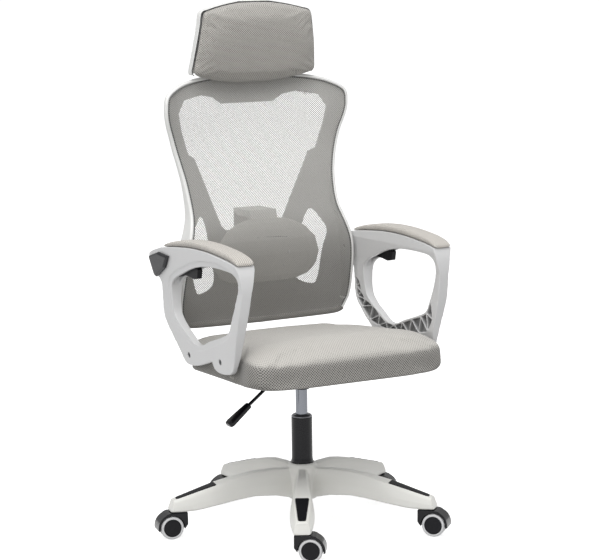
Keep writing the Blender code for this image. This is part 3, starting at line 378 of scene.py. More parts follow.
def cushion(name, cad_node, shape, material, voxel, cap, is_held, rounds=4):
    """A padded piece in place of a CAD node, swollen from the shape of its bag."""
    bag = loose_object(shape)
    swell(bag, voxel, cap, is_held, rounds)
    add_weave_map(bag.data)
    finished(bag, name, material, cad_node, smooth=None)


# ---- Finishes ----
def feed(tree, made, inputs):
    """Sets a node's inputs. One that is given another node's output is linked to it."""
    for key, value in inputs.items():
        if isinstance(value, bpy.types.NodeSocket):
            tree.links.new(value, made.inputs[key])
        else:
            made.inputs[key].default_value = value


def node(tree, kind, inputs=None, **settings):
    made = tree.nodes.new(kind)
    for key, value in settings.items():
        setattr(made, key, value)
    feed(tree, made, inputs or {})
    return made


def blank(name):
    """A new material's node tree and its shader."""
    made = bpy.data.materials.new(name)
    made.use_nodes = True
    return made, made.node_tree, made.node_tree.nodes["Principled BSDF"]


def mix(tree, share, a, b, blend="MIX"):
    inputs = {0: share, 6: a, 7: b}
    return node(tree, "ShaderNodeMix", inputs, data_type="RGBA", blend_type=blend).outputs[2]


def spread(tree, value, low, high, to_low, to_high, kind="LINEAR"):
    inputs = {"Value": value, "From Min": low, "From Max": high, "To Min": to_low, "To Max": to_high}
    return node(tree, "ShaderNodeMapRange", inputs, interpolation_type=kind).outputs["Result"]


def noise(tree, at, scale, detail=2.0):
    return node(tree, "ShaderNodeTexNoise", {"Vector": at, "Scale": scale, "Detail": detail}).outputs["Fac"]


def spread_noise(tree, value):
    """A noise's middle range spread over 0 to 1."""
    return spread(tree, value, 0.3, 0.7, 0.0, 1.0)


def bump(tree, height, distance, strength, over=None):
    inputs = {"Height": height, "Distance": distance, "Strength": strength}
    if over:
        inputs["Normal"] = over
    return node(tree, "ShaderNodeBump", inputs).outputs["Normal"]


def shade(colour, by):
    return tuple(min(c * by, 1.0) for c in colour[:3]) + (1.0,)


def plastic(
    name, colour, roughness, metallic=0.0, grain=0.00006, grain_scale=900.0, mottle=0.05, coat=0.0, shine=0.5
):
    """Moulded plastic or painted metal: a fine grain, and a slow drift in colour and gloss."""
    made, tree, shader = blank(name)
    at = node(tree, "ShaderNodeTexCoord").outputs["Object"]
    drift = noise(tree, at, 11.0)
    fine = noise(tree, at, grain_scale, 3.0)
    base = mix(tree, spread_noise(tree, drift), shade(colour, 1.0 - mottle), shade(colour, 1.0 + mottle))
    # Painted shade: a per-vertex attribute darkens the colour towards a sixth of itself.
    painted_shade = node(tree, "ShaderNodeAttribute", attribute_name="painted_shade").outputs["Fac"]
    speckle = mix(tree, 0.5, drift, fine)
    look = {
        "Base Color": mix(tree, painted_shade, base, shade(colour, 0.16)),
        "Roughness": spread(tree, speckle, 0.35, 0.65, roughness - 0.05, roughness + 0.05),
        "Normal": bump(tree, fine, grain, 0.6),
        "Metallic": metallic,
        "Coat Weight": coat,
        "Coat Roughness": 0.12,
        "Specular IOR Level": shine,
    }
    feed(tree, shader, look)
    return made


def weave_distance(tree, pitch):
    """Distance to the nearest hole of a diagonal lattice, in pitches."""
    at = node(tree, "ShaderNodeUVMap", uv_map="weave").outputs["UV"]
    lay = {"Vector": at, "Rotation": (0, 0, math.radians(45)), "Scale": (1 / pitch, 1 / pitch, 1.0)}
    diagonal = node(tree, "ShaderNodeMapping", lay).outputs["Vector"]
    inputs = {"Vector": diagonal, "Scale": 1.0, "Randomness": 0.0}
    lattice = node(tree, "ShaderNodeTexVoronoi", inputs, voronoi_dimensions="2D", feature="F1")
    return lattice.outputs["Distance"]


def knitted(tree, yarn, drift, colour, dark, light, worn):
    """A knit's colour: darker and lighter threads, times a slow drift."""
    threads = mix(tree, spread_noise(tree, yarn), shade(colour, dark), shade(colour, light))
    wear = mix(tree, spread_noise(tree, drift), shade((1, 1, 1), worn), (1, 1, 1, 1))
    return mix(tree, 1.0, threads, wear, "MULTIPLY")


def fabric(name, colour, hollow, pitch=0.0038, side=1.0):
    """Spacer fabric: a thick knit with a dimple at each point of a diagonal lattice.

    Where side is under 1, the sides of a cushion (faces turned away from up) get painted shade: the threads
    there are darkened by side, and the dimples, which stand wider open there, are painted much darker.
    """
    made, tree, shader = blank(name)
    distance = weave_distance(tree, pitch)
    at = node(tree, "ShaderNodeTexCoord").outputs["Object"]
    yarn = noise(tree, at, 1400.0, 3.0)
    drift = noise(tree, at, 9.0)
    filled = spread(tree, distance, 0.16, 0.42, 0.0, 1.0, "SMOOTHSTEP")
    knit = knitted(tree, yarn, drift, colour, 0.9, 1.08, 0.95)
    whole = mix(tree, filled, hollow, knit)
    # Painted shade on the sides and front of a cushion, by how far each face turns from up.
    if side < 1.0:
        normal = node(tree, "ShaderNodeNewGeometry").outputs["Normal"]
        up = node(tree, "ShaderNodeSeparateXYZ", {"Vector": normal})
        beside = spread(tree, up.outputs["Z"], 0.35, 0.85, 1.0, 0.0, "SMOOTHSTEP")
        holes = spread(tree, distance, 0.22, 0.46, 0.0, 1.0, "SMOOTHSTEP")
        threads = mix(tree, 1.0, knit, shade((1, 1, 1), side), "MULTIPLY")
        stretched_with_painted_shade = mix(tree, holes, shade(hollow, 0.18), threads)
        whole = mix(tree, beside, whole, stretched_with_painted_shade)
    height = spread(tree, distance, 0.08, 0.55, 0.0, 1.0, "SMOOTHSTEP")
    look = {
        "Base Color": whole,
        "Roughness": spread(tree, yarn, 0.3, 0.7, 0.82, 0.96),
        "Normal": bump(tree, yarn, 0.0002, 0.5, over=bump(tree, height, 0.0009, 0.55)),
        "Sheen Weight": 0.25,
        "Sheen Roughness": 0.5,
        "Specular IOR Level": 0.2,
    }
    feed(tree, shader, look)
    return made


def net(name, colour, pitch=0.0034):
    """The back's open mesh: yarn round a lattice of holes that show what is behind."""
    made, tree, shader = blank(name)
    distance = weave_distance(tree, pitch)
    at = node(tree, "ShaderNodeTexCoord").outputs["Object"]
    yarn = noise(tree, at, 1600.0)
    drift = noise(tree, at, 8.0)
    look = {
        "Base Color": knitted(tree, yarn, drift, colour, 0.88, 1.1, 0.96),
        "Alpha": spread(tree, distance, 0.305, 0.41, 0.0, 1.0, "SMOOTHSTEP"),
        "Roughness": spread(tree, yarn, 0.3, 0.7, 0.7, 0.85),
        "Normal": bump(tree, distance, 0.0005, 0.4),
        "Specular IOR Level": 0.25,
    }
    feed(tree, shader, look)
    return made


def beading(name, dark, light, pitch=0.0042):
    """The dotted cord in the groove round the mesh. Its map runs along the cord."""
    made, tree, shader = blank(name)
    at = node(tree, "ShaderNodeUVMap", uv_map="weave").outputs["UV"]
    inputs = {"Vector": at, "Scale": 0.05 / pitch * 2 * math.pi}
    wave = node(tree, "ShaderNodeTexWave", inputs, wave_profile="SIN").outputs["Fac"]
    look = {
        "Base Color": mix(tree, wave, dark, light),
        "Roughness": spread(tree, wave, 0.0, 1.0, 0.6, 0.85),
        "Normal": bump(tree, wave, 0.0006, 0.6),
    }
    feed(tree, shader, look)
    return made


WHITE = plastic("white plastic", (0.8, 0.8, 0.785), 0.36, mottle=0.012, grain=0.00003, coat=0.08)
ARM_WHITE = plastic("arm white plastic", (0.69, 0.69, 0.692), 0.36, mottle=0.012, grain=0.00003, coat=0.08)
BASE_WHITE = plastic("cream white nylon", (0.83, 0.825, 0.785), 0.38, mottle=0.015, grain=0.00003, coat=0.05)
GREY_MOULDED = plastic("grey plastic", (0.56, 0.55, 0.52), 0.5, mottle=0.03)
PALE_MOULDED = plastic("pale grey plastic", (0.72, 0.71, 0.69), 0.5, mottle=0.03)
DARK_MOULDED = plastic(
    "anthracite plastic", (0.012, 0.012, 0.015), 0.3, mottle=0.1, grain_scale=600.0, shine=0.3
)
BLACK_GRAINED = plastic(
    "grained black plastic", (0.006, 0.006, 0.008), 0.5, grain=0.0003, grain_scale=420, mottle=0.2, shine=0.18
)
BLACK_GLOSS = plastic(
    "glossy black plastic", (0.004, 0.004, 0.006), 0.18, mottle=0.1, grain=0.00001, coat=0.1, shine=0.18
)
BLACK_PAINT = plastic(
    "black painted steel", (0.006, 0.006, 0.008), 0.28, mottle=0.15, grain=0.00002, shine=0.22
)
TYRE = plastic("grey tyre", (0.72, 0.72, 0.73), 0.6, mottle=0.04, grain=0.00012, grain_scale=500.0)
SATIN = plastic("satin metal", (0.3, 0.3, 0.32), 0.32, metallic=0.9, mottle=0.05)
STEEL = plastic("steel", (0.45, 0.45, 0.47), 0.28, metallic=1.0, mottle=0.06, grain=0.00002)
BRIGHT_STEEL = plastic(
    "bright screw steel", (0.85, 0.85, 0.86), 0.25, metallic=0.6, mottle=0.03, grain=0.00001
)
# Dark grey bolt heads: dark steel, and partly painted shade of the sunk holes they sit in.
BOLT_STEEL_AND_SINK_SHADE = plastic("dark bolt steel", (0.1, 0.1, 0.105), 0.4, metallic=0.8, mottle=0.08, grain=0.00002)
CHROME = plastic(
    "chrome", (0.165, 0.172, 0.19), 0.12, metallic=1.0, mottle=0.02, grain=0.000005, grain_scale=300.0
)
# side=0.7 paints shade on the seat cushion's front and sides.
SEAT_FABRIC = fabric(
    "seat spacer fabric", (0.6, 0.58, 0.545, 1.0), (0.36, 0.35, 0.325, 1.0), pitch=0.0044, side=0.7
)
# The headrest fabric's colour is darkened as painted shade, for the dimmer light that falls on the headrest.
HEADREST_FABRIC_PAINTED_SHADE = fabric("headrest spacer fabric", (0.5, 0.482, 0.45, 1.0), (0.13, 0.125, 0.118, 1.0))
PAD_FABRIC = fabric("arm pad fabric", (0.7, 0.665, 0.615, 1.0), (0.17, 0.16, 0.145, 1.0), pitch=0.0036)
NET = net("open back mesh", (0.41, 0.4, 0.38, 1.0))
PIPING = fabric("dark piping", (0.1, 0.1, 0.1, 1.0), (0.04, 0.04, 0.04, 1.0), pitch=0.002)
HEM_FABRIC = fabric("back hem fabric", (0.27, 0.262, 0.245, 1.0), (0.1, 0.097, 0.09, 1.0), pitch=0.0034)
BEADING = beading("dotted groove cord", (0.02, 0.02, 0.02, 1.0), (0.3, 0.3, 0.29, 1.0))


# ---- Base ----
def build_column():
    bore = PISTON_RADIUS + 0.0012
    lip = 0.0012
    tube = [
        (bore, 0.071), (TUBE_RADIUS - 0.001, 0.071), (TUBE_RADIUS, 0.074), (TUBE_RADIUS, 0.1534),
        (TUBE_RADIUS + 0.0012, 0.1538), (TUBE_RADIUS + 0.0014, 0.156), (TUBE_RADIUS + 0.0004, 0.161),
        (TUBE_RADIUS, 0.165), (TUBE_RADIUS, TUBE_TOP - lip), (TUBE_RADIUS - lip, TUBE_TOP), (bore, TUBE_TOP),
    ]
    ring = [
        (PISTON_RADIUS + 0.0006, 0.0002), (TUBE_RADIUS - 0.0004, 0.0002), (TUBE_RADIUS, 0.0008),
        (TUBE_RADIUS - 0.0006, 0.0032), (TUBE_RADIUS - 0.0036, 0.006), (TUBE_RADIUS - 0.0048, 0.0065),
        (PISTON_RADIUS + 0.0006, 0.0065),
    ]
    piston = [
        (0.0, 0.112), (PISTON_RADIUS - 0.001, 0.112), (PISTON_RADIUS, 0.113), (PISTON_RADIUS, 0.335),
        (0.0124, 0.3645), (0.0, 0.3645),
    ]
    collar = [(radius, TUBE_TOP + height) for radius, height in ring]
    crisp("column_sleeve", turned(tube, 96), BLACK_PAINT, "column_tube")
    crisp("column_ring", turned(collar, 96), SATIN, "column_collar")
    crisp("gas_lift_rod", turned(piston, 96), CHROME, "gas_piston")


def build_base():
    rounded("base_moulding", "star_base", 0.0016, 6, BASE_WHITE, keep=0.35)
    for i in range(1, LEG_COUNT + 1):
        rounded(f"step_pad_{i}", f"foot_pad_{i}", 0.0009, 3, BLACK_GRAINED)
    build_column()


# ---- Casters ----
TYRE_PROFILE = mm(
    (4.5, 0), (23.4, 0), (25.6, 0.7), (26.8, 2.4), (27, 5.4), (27, 12.2), (26.8, 14.8), (25.7, 16.7),
    (24, 17.8), (22.2, 18), (21.1, 17.6), (20.8, 16.4), (4.5, 15.8),
)
DISC_PROFILE = mm((0, 16.1), (20.5, 16.3), (20.5, 17), (19.8, 17.5), (15, 17.9), (0, 18.2))


def hood_shape():
    """A caster's cover, in a frame of its own: the stem's axis on Z, the wheels trailing along +X."""
    rear = []
    for angle in np.radians(np.linspace(-8, 62, 22)):
        along = CASTER_TRAIL + HOOD_RADIUS * math.cos(angle)
        rear.append((along, WHEEL_RADIUS + HOOD_RADIUS * math.sin(angle)))
    outline = [
        (-0.0165, HOOD_TOP), (-0.0168, 0.034), (-0.009, 0.0235), (0.008, 0.0165), (0.03, 0.0165),
        *rear, (0.0315, 0.0598), (0.025, HOOD_TOP),
    ]
    axle_at = Vector((CASTER_TRAIL, 0, WHEEL_RADIUS))
    side = Vector((0, 1, 0))
    holes = [
        rod(axle_at - side * HOOD_WEB / 2, axle_at - side * 0.03, WHEEL_WELL, 64),
        rod(axle_at + side * HOOD_WEB / 2, axle_at + side * 0.03, WHEEL_WELL, 64),
        rod(axle_at - side * 0.01, axle_at + side * 0.01, AXLE_RADIUS, 16),
        rod((0, 0, STEM_BOTTOM), (0, 0, 0.08), STEM_RADIUS, 16),
    ]
    return without(prism(outline, "Y", -HOOD_HALF, HOOD_HALF), *holes)


def build_casters():
    lay = Matrix.Translation((0, WHEEL_INNER, 0)) @ Matrix.Rotation(-math.pi / 2, 4, "X")
    hood = hood_shape()
    for i, yaw in enumerate(CASTER_YAWS, 1):
        angle = FIRST_LEG + (i - 1) * 2 * math.pi / LEG_COUNT
        foot = Vector((math.sin(angle), -math.cos(angle), 0)) * STEM_CIRCLE
        turn = Matrix.Translation(foot) @ Matrix.Rotation(math.radians(yaw), 4, "Z")
        cover = moved(hood, turn)
        rounded(f"caster_{i}_cover", f"caster_{i}_hood", 0.0009, 3, BLACK_GLOSS, keep=0.5, shape=cover)
        for part in ("stem", "axle"):
            dress(f"caster_{i}_{part}", STEEL)
        at_axle = turn @ Matrix.Translation((CASTER_TRAIL, 0, WHEEL_RADIUS))
        for side, half_turn in (("a", 0.0), ("b", math.pi)):
            place = at_axle @ Matrix.Rotation(half_turn, 4, "Z") @ lay
            cad_node = f"caster_{i}_wheel_{side}"
            tyre = moved(turned(TYRE_PROFILE, 64), place)
            disc = moved(turned(DISC_PROFILE, 64), place)
            crisp(f"caster_{i}_tyre_{side}", tyre, TYRE, cad_node, smooth=50)
            name = f"caster_{i}_disc_{side}"
            crisp(name, disc, BLACK_GRAINED, cad_node, slot="dark_plastic", extra=True, smooth=50)


# ---- Seat ----
seat_half = smooth_value(
    (-262, 90), (-257.5, 165), (-252, 208), (-240, 238), (-222, 251.5), (-192, 257), (-140, 253), (0, 240),
    (100, 229), (175, 212.5), (205, 190), (217, 150),
)
seat_top = smooth_value(
    (-262, 434), (-252, 444), (-237, 450.5), (-204, 459), (-156, 463), (-107, 459), (-7, 451.5), (118, 443),
    (180, 439), (205, 433), (217, 420),
)
seat_crown = smooth_value((-262, 0), (-230, 8), (-150, 13), (0, 9), (150, 4), (217, 0))
SEAT_SLACK = 0.004  # the bag starts this much smaller all round than it ends
SEAT_LOW = 0.3835  # the cover is drawn under the pan
UNDER_ARM = 0.403  # below this the cover spreads out again under the arms' feet
UNDER_ARM_SPREAD = 0.035
SEAT_SHORTER = 0.985  # the bag is this share of its length before it is filled


def seat_bag():
    """The seat's cover before it is filled. Beside the arms it lies on the metal tabs that carry them."""
    rings = []
    rows = (np.linspace(-0.2615, -0.225, 14), np.linspace(-0.218, 0.18, 46), np.linspace(0.186, 0.2165, 10))
    for y in np.concatenate(rows):
        beside_arm = np.interp(y, (FLANGE_FRONT - 0.035, FLANGE_FRONT - 0.012), (0.0, 1.0))
        beside_arm *= np.interp(y, (FLANGE_REAR, FLANGE_REAR + 0.045), (1.0, 0.0))
        half = seat_half(y) * (1 - beside_arm) + ARM_CLEAR * beside_arm - SEAT_SLACK
        top = seat_top(y) - SEAT_SLACK
        level = (SEAT_LOW + top) / 2
        upper = [point for point in oval(half, SEAT_LOW, top, 5.0, 64) if point[1] >= level]
        lower = [point for point in oval(half, SEAT_LOW, top, 10.0, 64) if point[1] < level]
        points = sorted(upper, key=lambda point: -point[0]) + sorted(lower)
        ring = []
        for x, z in points:
            rise = seat_crown(y) * (1 - (x / half) ** 2) if z > level else 0.0
            under_arm = float(np.interp(z, (UNDER_ARM - 0.008, UNDER_ARM), (1.0, 0.0)))
            spread_out = 1 + UNDER_ARM_SPREAD * beside_arm * under_arm
            ring.append(Vector((x * spread_out, y * SEAT_SHORTER, z + rise)))
        rings.append(ring)
    return loft(rings)


def is_seat_held(point):
    return point[2] < SEAT_LOW + 0.004


def build_seat():
    bag = seat_bag()
    cushion("seat_upholstery", "seat_cushion", bag, SEAT_FABRIC, 0.0055, 0.0075, is_seat_held)
    board = [(x * 0.84, y * 0.86) for x, y in plan_of_pan()]
    rings = []
    for drop, share in ((0.003, 1.0), (-0.001, 1.0), (-0.002, 0.992)):
        rings.append([Vector((x * share, y * share, SEAT_LOW + drop)) for x, y in board])
    crisp("seat_base_board", loft(rings), BLACK_GRAINED, "seat_pan")
    rounded("mechanism_housing", "lift_mechanism", 0.0012, 3, BLACK_PAINT)
    rounded("lever_grip", "lever_handle", 0.0008, 3, BLACK_GLOSS)
    rounded("lever_bar", "lever_rod", 0.0007, 3, BLACK_PAINT)


def plan_of_pan():
    left = [(-seat_half(y), y) for y in np.linspace(-0.252, 0.205, 24)]
    return left + [(-x, y) for x, y in reversed(left)]


# ---- Arms ----
ARM_OUTLINE = (  # in millimetres
    [(168, 660.5), (159, 663)],
    [(159, 663), (91, 671), (9, 677), (-69, 676.5), (-141, 670.5), (-184, 665), (-206.5, 660)],
    [(-206.5, 660), (-213, 637), (-215, 612), (-212, 587), (-201, 537), (-181, 478), (-171, 445)],
    [(-171, 445), (-163, 424), (-148, 413), (-120, 408), (-90, 408.5), (-71, 416), (-63, 429)],
    [(-63, 429), (-35, 420), (0, 410), (30, 404.5), (57, 404), (76, 413), (92, 430)],
    [(92, 430), (126, 462), (152, 488), (163, 510), (163.5, 545), (163, 575), (172, 590)],
    [(172, 590), (189, 597), (207, 617), (219.5, 640), (206, 650), (168, 660.5)],
)
LOOP_OUTLINE = mm(
    (63, 612), (0, 633), (-60, 643), (-125, 645), (-180, 642), (-198, 631), (-201, 612), (-190, 576),
    (-170, 540), (-148, 506), (-110, 490), (-55, 473), (-15, 458), (17, 457), (45, 470), (90, 495),
    (111, 516), (118, 541), (118.5, 568), (113, 585), (95, 599),
)
ARM_RIBS = mm(
    (159, 554.5), (139, 537.5), (158.5, 527), (135, 515), (156, 503), (118, 499), (135, 480), (85, 488),
    (102, 451), (55, 469), (68, 442), (28, 454), (28, 437.5), (-8, 453), (-25, 433), (-45, 465), (-68, 439),
    (-85, 478), (-113, 450), (-125, 490), (-152, 458), (-150, 501), (-175, 490), (-170, 533),
)
RIB_THICKNESS = 0.002
BAND_WIDTH = 0.013  # the outer face steps in by BAND_DEPTH of its thickness along the loop
BAND_DEPTH = 0.06
# Strength of the painted shade in the arms' rib pockets.
POCKET_SHADE = 0.65
FRONT_NARROWING = 0.008
TRIGGER_SLOT = mm((-22, 600), (117, 580), (117, 600), (100, 622), (40, 648), (-22, 656))
BOLT_PLACES = mm((-102, 433), (50, 426))
BOLT_RADIUS = 0.0045
BOLT_SINK = 0.0066
BOLT_SINK_DEPTH = 0.0055
HINGE_BORE = 0.0055
HINGE_SINK = 0.0094
HINGE_SINK_DEPTH = 0.0085


def arm_outer(height):
    return ARM_OUTER_TOP - ARM_LEAN * (ARM_TOP - height)


def arm_thickness(height):
    return float(np.interp(height, ARM_STEPS, ARM_THICKNESS))


def front_narrowing(share, depth, height):
    """How far an arm's outer face comes in towards the front edge of its front post."""
    near_front = float(np.interp(depth, (-0.212, -0.19), (1.0, 0.0)))
    below_pad = float(np.interp(height, (0.54, 0.6, 0.64, 0.656), (0.2, 1.0, 0.6, 0.0)))
    return FRONT_NARROWING * near_front * below_pad * max(1.0 - 1.25 * share, -0.25)


def inset_triangle(corners, distance):
    """A triangle with each side moved inwards. None if nothing is left of it."""
    a, b, c = (np.array(corner) for corner in corners)
    sides = [np.linalg.norm(b - c), np.linalg.norm(c - a), np.linalg.norm(a - b)]
    round_ = sum(sides)
    centre = (a * sides[0] + b * sides[1] + c * sides[2]) / round_
    first = b - a
    second = c - a
    radius = abs(first[0] * second[1] - first[1] * second[0]) / round_
    if radius < 2 * distance:
        return None
    return [tuple(centre + (corner - centre) * (1 - distance / radius)) for corner in (a, b, c)]


def arm_outline(steps):
    line = []
    for stretch in ARM_OUTLINE:
        line += curve(mm(*stretch), steps if len(stretch) > 2 else 1)[:-1]
    return line


def arm_shape(way):
    """Built flat with X as the share of its thickness, then given its lean and taper."""
    loop = curve(LOOP_OUTLINE, 6, closed=True)
    wider = offset_outline(loop, BAND_WIDTH)
    band = []
    for (y, z), (wide_y, wide_z) in zip(loop, wider):
        share = float(np.interp(y, (-0.19, -0.12), (0.3, 1.0)))
        band.append((y + (wide_y - y) * share, z + (wide_z - z) * share))
    holes = [
        prism(band, "X", -1.0, BAND_DEPTH), prism(loop, "X", -1.0, 2.0), prism(TRIGGER_SLOT, "X", 0.26, 0.74)
    ]
    for corners in zip(ARM_RIBS, ARM_RIBS[1:], ARM_RIBS[2:]):
        pocket = inset_triangle(corners, RIB_THICKNESS / 2)
        if pocket:
            holes.append(prism(pocket, "X", 0.24, 2.0))
    vertices, faces = without(prism(arm_outline(6), "X", 0.0, 1.0), *holes)
    mesh = bpy.data.meshes.new("arm")
    mesh.from_pydata(vertices, [], faces)
    form = bmesh.new()
    form.from_mesh(mesh)
    for height in (*ARM_STEPS, 0.57, 0.62, 0.636):
        whole = form.verts[:] + form.edges[:] + form.faces[:]
        bmesh.ops.bisect_plane(form, geom=whole, plane_co=(0, 0, height), plane_no=(0, 0, 1), dist=1e-5)
    bmesh.ops.triangulate(form, faces=form.faces)
    form.to_mesh(mesh)
    form.free()
    vertices = []
    for v in mesh.vertices:
        share, depth, height = v.co
        half = arm_outer(height) - share * arm_thickness(height) - front_narrowing(share, depth, height)
        vertices.append(Vector((way * half, depth, height)))
    bores = []
    for y, z in BOLT_PLACES:
        sunk = way * (arm_outer(z) - BOLT_SINK_DEPTH)
        bores.append(rod((way * 0.23, y, z), (way * 0.29, y, z), BOLT_RADIUS, 16))
        bores.append(rod((sunk, y, z), (way * 0.29, y, z), BOLT_SINK, 24))
    for start, radius in ((0.2, HINGE_BORE), (arm_outer(HINGE_Z) - HINGE_SINK_DEPTH, HINGE_SINK)):
        bores.append(rod((way * start, HINGE_Y, HINGE_Z), (way * 0.3, HINGE_Y, HINGE_Z), radius, 24))
    return without((vertices, [tuple(p.vertices) for p in mesh.polygons]), *bores)


pad_base = smooth_value(
    (-206.5, 660), (-184, 665), (-141, 670.5), (-69, 676.5), (9, 677), (91, 671), (159, 663),
)
pad_rise = smooth_value(
    (-211, 5), (-208.5, 8.8), (-200, 13), (-180, 15.8), (-140, 17.5), (-40, 17.5), (20, 17), (80, 15),
    (120, 12), (148, 8), (158, 3.5),
)
pad_half = smooth_value(
    (-211, 21.5), (-208.5, 23.2), (-200, 24), (-180, 24.2), (-40, 24.2), (20, 24), (80, 23.5), (120, 22.5),
    (148, 20), (158, 16),
)
PAD_FRONT = -0.2065
PAD_REAR = 0.159
PAD_CENTRE = 0.2562
PAD_SLACK = 0.0012


def arm_pad_bag(way):
    rings = []
    for y in (-0.21, -0.2088, -0.207, *np.linspace(-0.2035, 0.15, 44), 0.1545, 0.157):
        low = pad_base(max(y, PAD_FRONT)) + 0.0003
        rise = pad_rise(y) - PAD_SLACK
        ring = []
        for x, z in oval(pad_half(y) - PAD_SLACK, -1.0, 1.0, 3.8, 40):
            lift = 0.55 + 0.45 * z if z > 0 else 0.55 * (1 + z)
            ring.append(Vector((way * PAD_CENTRE + x, y, low + rise * lift)))
        rings.append(ring)
    return loft(rings)


def is_pad_held(point):
    return point[2] < pad_base(min(max(point[1], PAD_FRONT), PAD_REAR)) + 0.0025


def distance_to(line, points):
    """Each point's distance to a closed line."""
    line = np.array(line)
    nearest = np.full(len(points), np.inf)
    for a, b in zip(line, np.roll(line, -1, axis=0)):
        along = b - a
        share = np.clip((points - a) @ along / max(along @ along, 1e-12), 0.0, 1.0)
        nearest = np.minimum(nearest, np.linalg.norm(points - a - share[:, None] * along, axis=1))
    return nearest


def mark_painted_shade(obj, depth_of):
    """Stores how much painted shade each vertex gets, 0 to 1, for the finish to darken."""
    points = read(obj.data.vertices, "co", 3) - np.array(COLUMN_AT)
    normals = read(obj.data.vertices, "normal", 3)
    layer = obj.data.attributes.new("painted_shade", "FLOAT", "POINT")
    layer.data.foreach_set("value", depth_of(points, normals))


def arm_pocket_shade(points, _normals):
    """Painted shade for the pockets between the ribs: inside the outline, behind the inner face."""
    heights = points[:, 2]
    thickness = np.interp(heights, ARM_STEPS, ARM_THICKNESS)
    share = (arm_outer(heights) - np.abs(points[:, 0])) / thickness
    plan = points[:, 1:]
    to_loop = distance_to(curve(LOOP_OUTLINE, 4, closed=True), plan)
    edge = np.minimum(distance_to(arm_outline(4), plan), to_loop)
    inside = np.clip((edge - 0.0022) / 0.0015, 0.0, 1.0)
    deep = np.clip((0.97 - share) / 0.25, 0.0, 1.0) * (share > 0.16)
    return POCKET_SHADE * inside * deep * (heights < 0.56)


def build_arms():
    for way, side in ((-1, "right"), (1, "left")):
        shape = arm_shape(way)
        arm = rounded(f"arm_moulding_{side}", f"arm_{side}", 0.0013, 5, ARM_WHITE, keep=0.35, shape=shape)
        # Painted shade in the rib pockets.
        mark_painted_shade(arm, arm_pocket_shade)
        bag = arm_pad_bag(way)
        cushion(f"arm_pad_cover_{side}", f"arm_pad_{side}", bag, PAD_FABRIC, 0.0028, 0.0022, is_pad_held)
        rounded(f"hinge_cap_{side}", f"pivot_cover_{side}", 0.0009, 22, DARK_MOULDED)
        rounded(f"trigger_paddle_{side}", f"trigger_{side}", 0.0008, 3, BLACK_GRAINED)
        for place in ("arm_bolt_front", "arm_bolt_rear", "recline_bolt"):
            rounded(f"{place}_head_{side}", f"{place}_{side}", 0.0005, 2, BOLT_STEEL_AND_SINK_SHADE)


# ---- Backrest ----
back_half = smooth_value(
    (460, 213), (480, 219), (514, 223.6), (544, 224.6), (604, 221.4), (650, 215), (694, 202.5), (724, 194.6),
    (754, 192.5), (800, 195.5), (844, 203.6), (904, 219.5), (964, 237), (1045, 237),
)
back_depth = smooth_value(
    (440, 168), (480, 165.5), (520, 155.5), (574, 142), (624, 131.5), (659, 129), (694, 136), (744, 157.5),
    (794, 173), (854, 186), (904, 189.5), (964, 184), (1000, 182.5), (1060, 182),
)
mesh_bow = smooth_value(
    (440, 26), (540, 9), (640, 0.5), (740, 4), (840, 16), (940, 38), (1030, 60), (1060, 62),
)
rim_depth = smooth_value(
    (440, 20), (500, 30), (560, 43), (620, 54), (660, 50), (700, 40), (760, 26), (840, 16), (940, 12),
    (1060, 12),
)
plate_bow = smooth_value(
    (440, 30), (540, 42), (620, 62), (700, 66), (860, 56), (960, 56), (1030, 62), (1060, 62),
)
CORNER_LOW = 0.505  # back_half is the edge between these heights, BACK_BOTTOM and BACK_TOP past them
CORNER_HIGH = 0.985
CORD_LOW = 0.479
CORD_SIDES = 8
HEM_TOP = 0.481
NET_CELLS = 48
LUMBAR_SCREWS = mm((52.9, 628.8), (43, 596.6))
LUMBAR_SEAM = mm((-38, 667.6), (-16, 668.3), (5, 667.8), (27, 666.9), (49, 665))
BACK_BOTTOM = mm((0, 467), (110, 469), (185, 472), (208.5, 477), (216.5, 488))
BACK_TOP = mm(
    (237, 990), (232, 1003), (215.3, 1014.5), (184.4, 1026.5), (135.3, 1035), (70, 1040), (0, 1041.5),
)
UPPER_WINDOW = mm(
    (0, 979), (70, 979.5), (95, 996), (128, 1002), (181, 993), (199, 964), (191, 924), (172, 866), (154, 857),
    (79, 686.5), (65, 679), (0, 678),
)
SIDE_WINDOW = mm(
    (148, 720), (129, 680), (109, 600), (113, 554), (153, 536), (168, 554), (182, 630), (186, 665),
    (174, 690),
)


def fabric_y(x, z):
    """Front of the rim and of the mesh."""
    return back_depth(z) + mesh_bow(z) * (1 - min(abs(x) / BOW_HALF, 1.0) ** 2)


def plate_y(x, z):
    """Front of the frame's plate, which meets the rim and bows back further than the mesh."""
    return back_depth(z) + rim_depth(z) - 0.005 + plate_bow(z) * (1 - min(abs(x) / back_half(z), 1.0) ** 2)


def mirrored(half):
    """A closed outline from one that starts and ends at X = 0."""
    return list(half) + [(-x, z) for x, z in reversed(half[1:-1])]


def back_outline(steps, side_points):
    side = [(back_half(z), z) for z in np.linspace(CORNER_LOW, 0.97, side_points)]
    return mirrored(curve(BACK_BOTTOM, steps)[:-1] + side + curve(BACK_TOP, steps))


def offset_outline(line, distance):
    """The outline moved outwards in its own plane."""
    points = np.array(line)
    along = np.roll(points, -1, axis=0) - np.roll(points, 1, axis=0)
    normal = np.stack([along[:, 1], -along[:, 0]], axis=1)
    normal /= np.linalg.norm(normal, axis=1)[:, None]
    return [tuple(p) for p in points + normal * distance]


def rim_shape():
    inner = back_outline(6, 44)
    middle = offset_outline(inner, RIM_WIDTH * 0.45)
    outer = offset_outline(inner, RIM_WIDTH)
    rings = []
    for (ix, iz), (mx, mz), (ox, oz) in zip(inner, middle, outer):
        front = fabric_y(ix, iz) - 0.0005
        back = front + rim_depth(iz)
        section = ((ix, front + 0.0015, iz), (mx, front - 0.0015, mz), (ox, front + 0.0025, oz))
        section += ((ox, back - 0.002, oz), (ix, back, iz))
        rings.append([Vector(point) for point in section])
    return loft(rings, "loop")


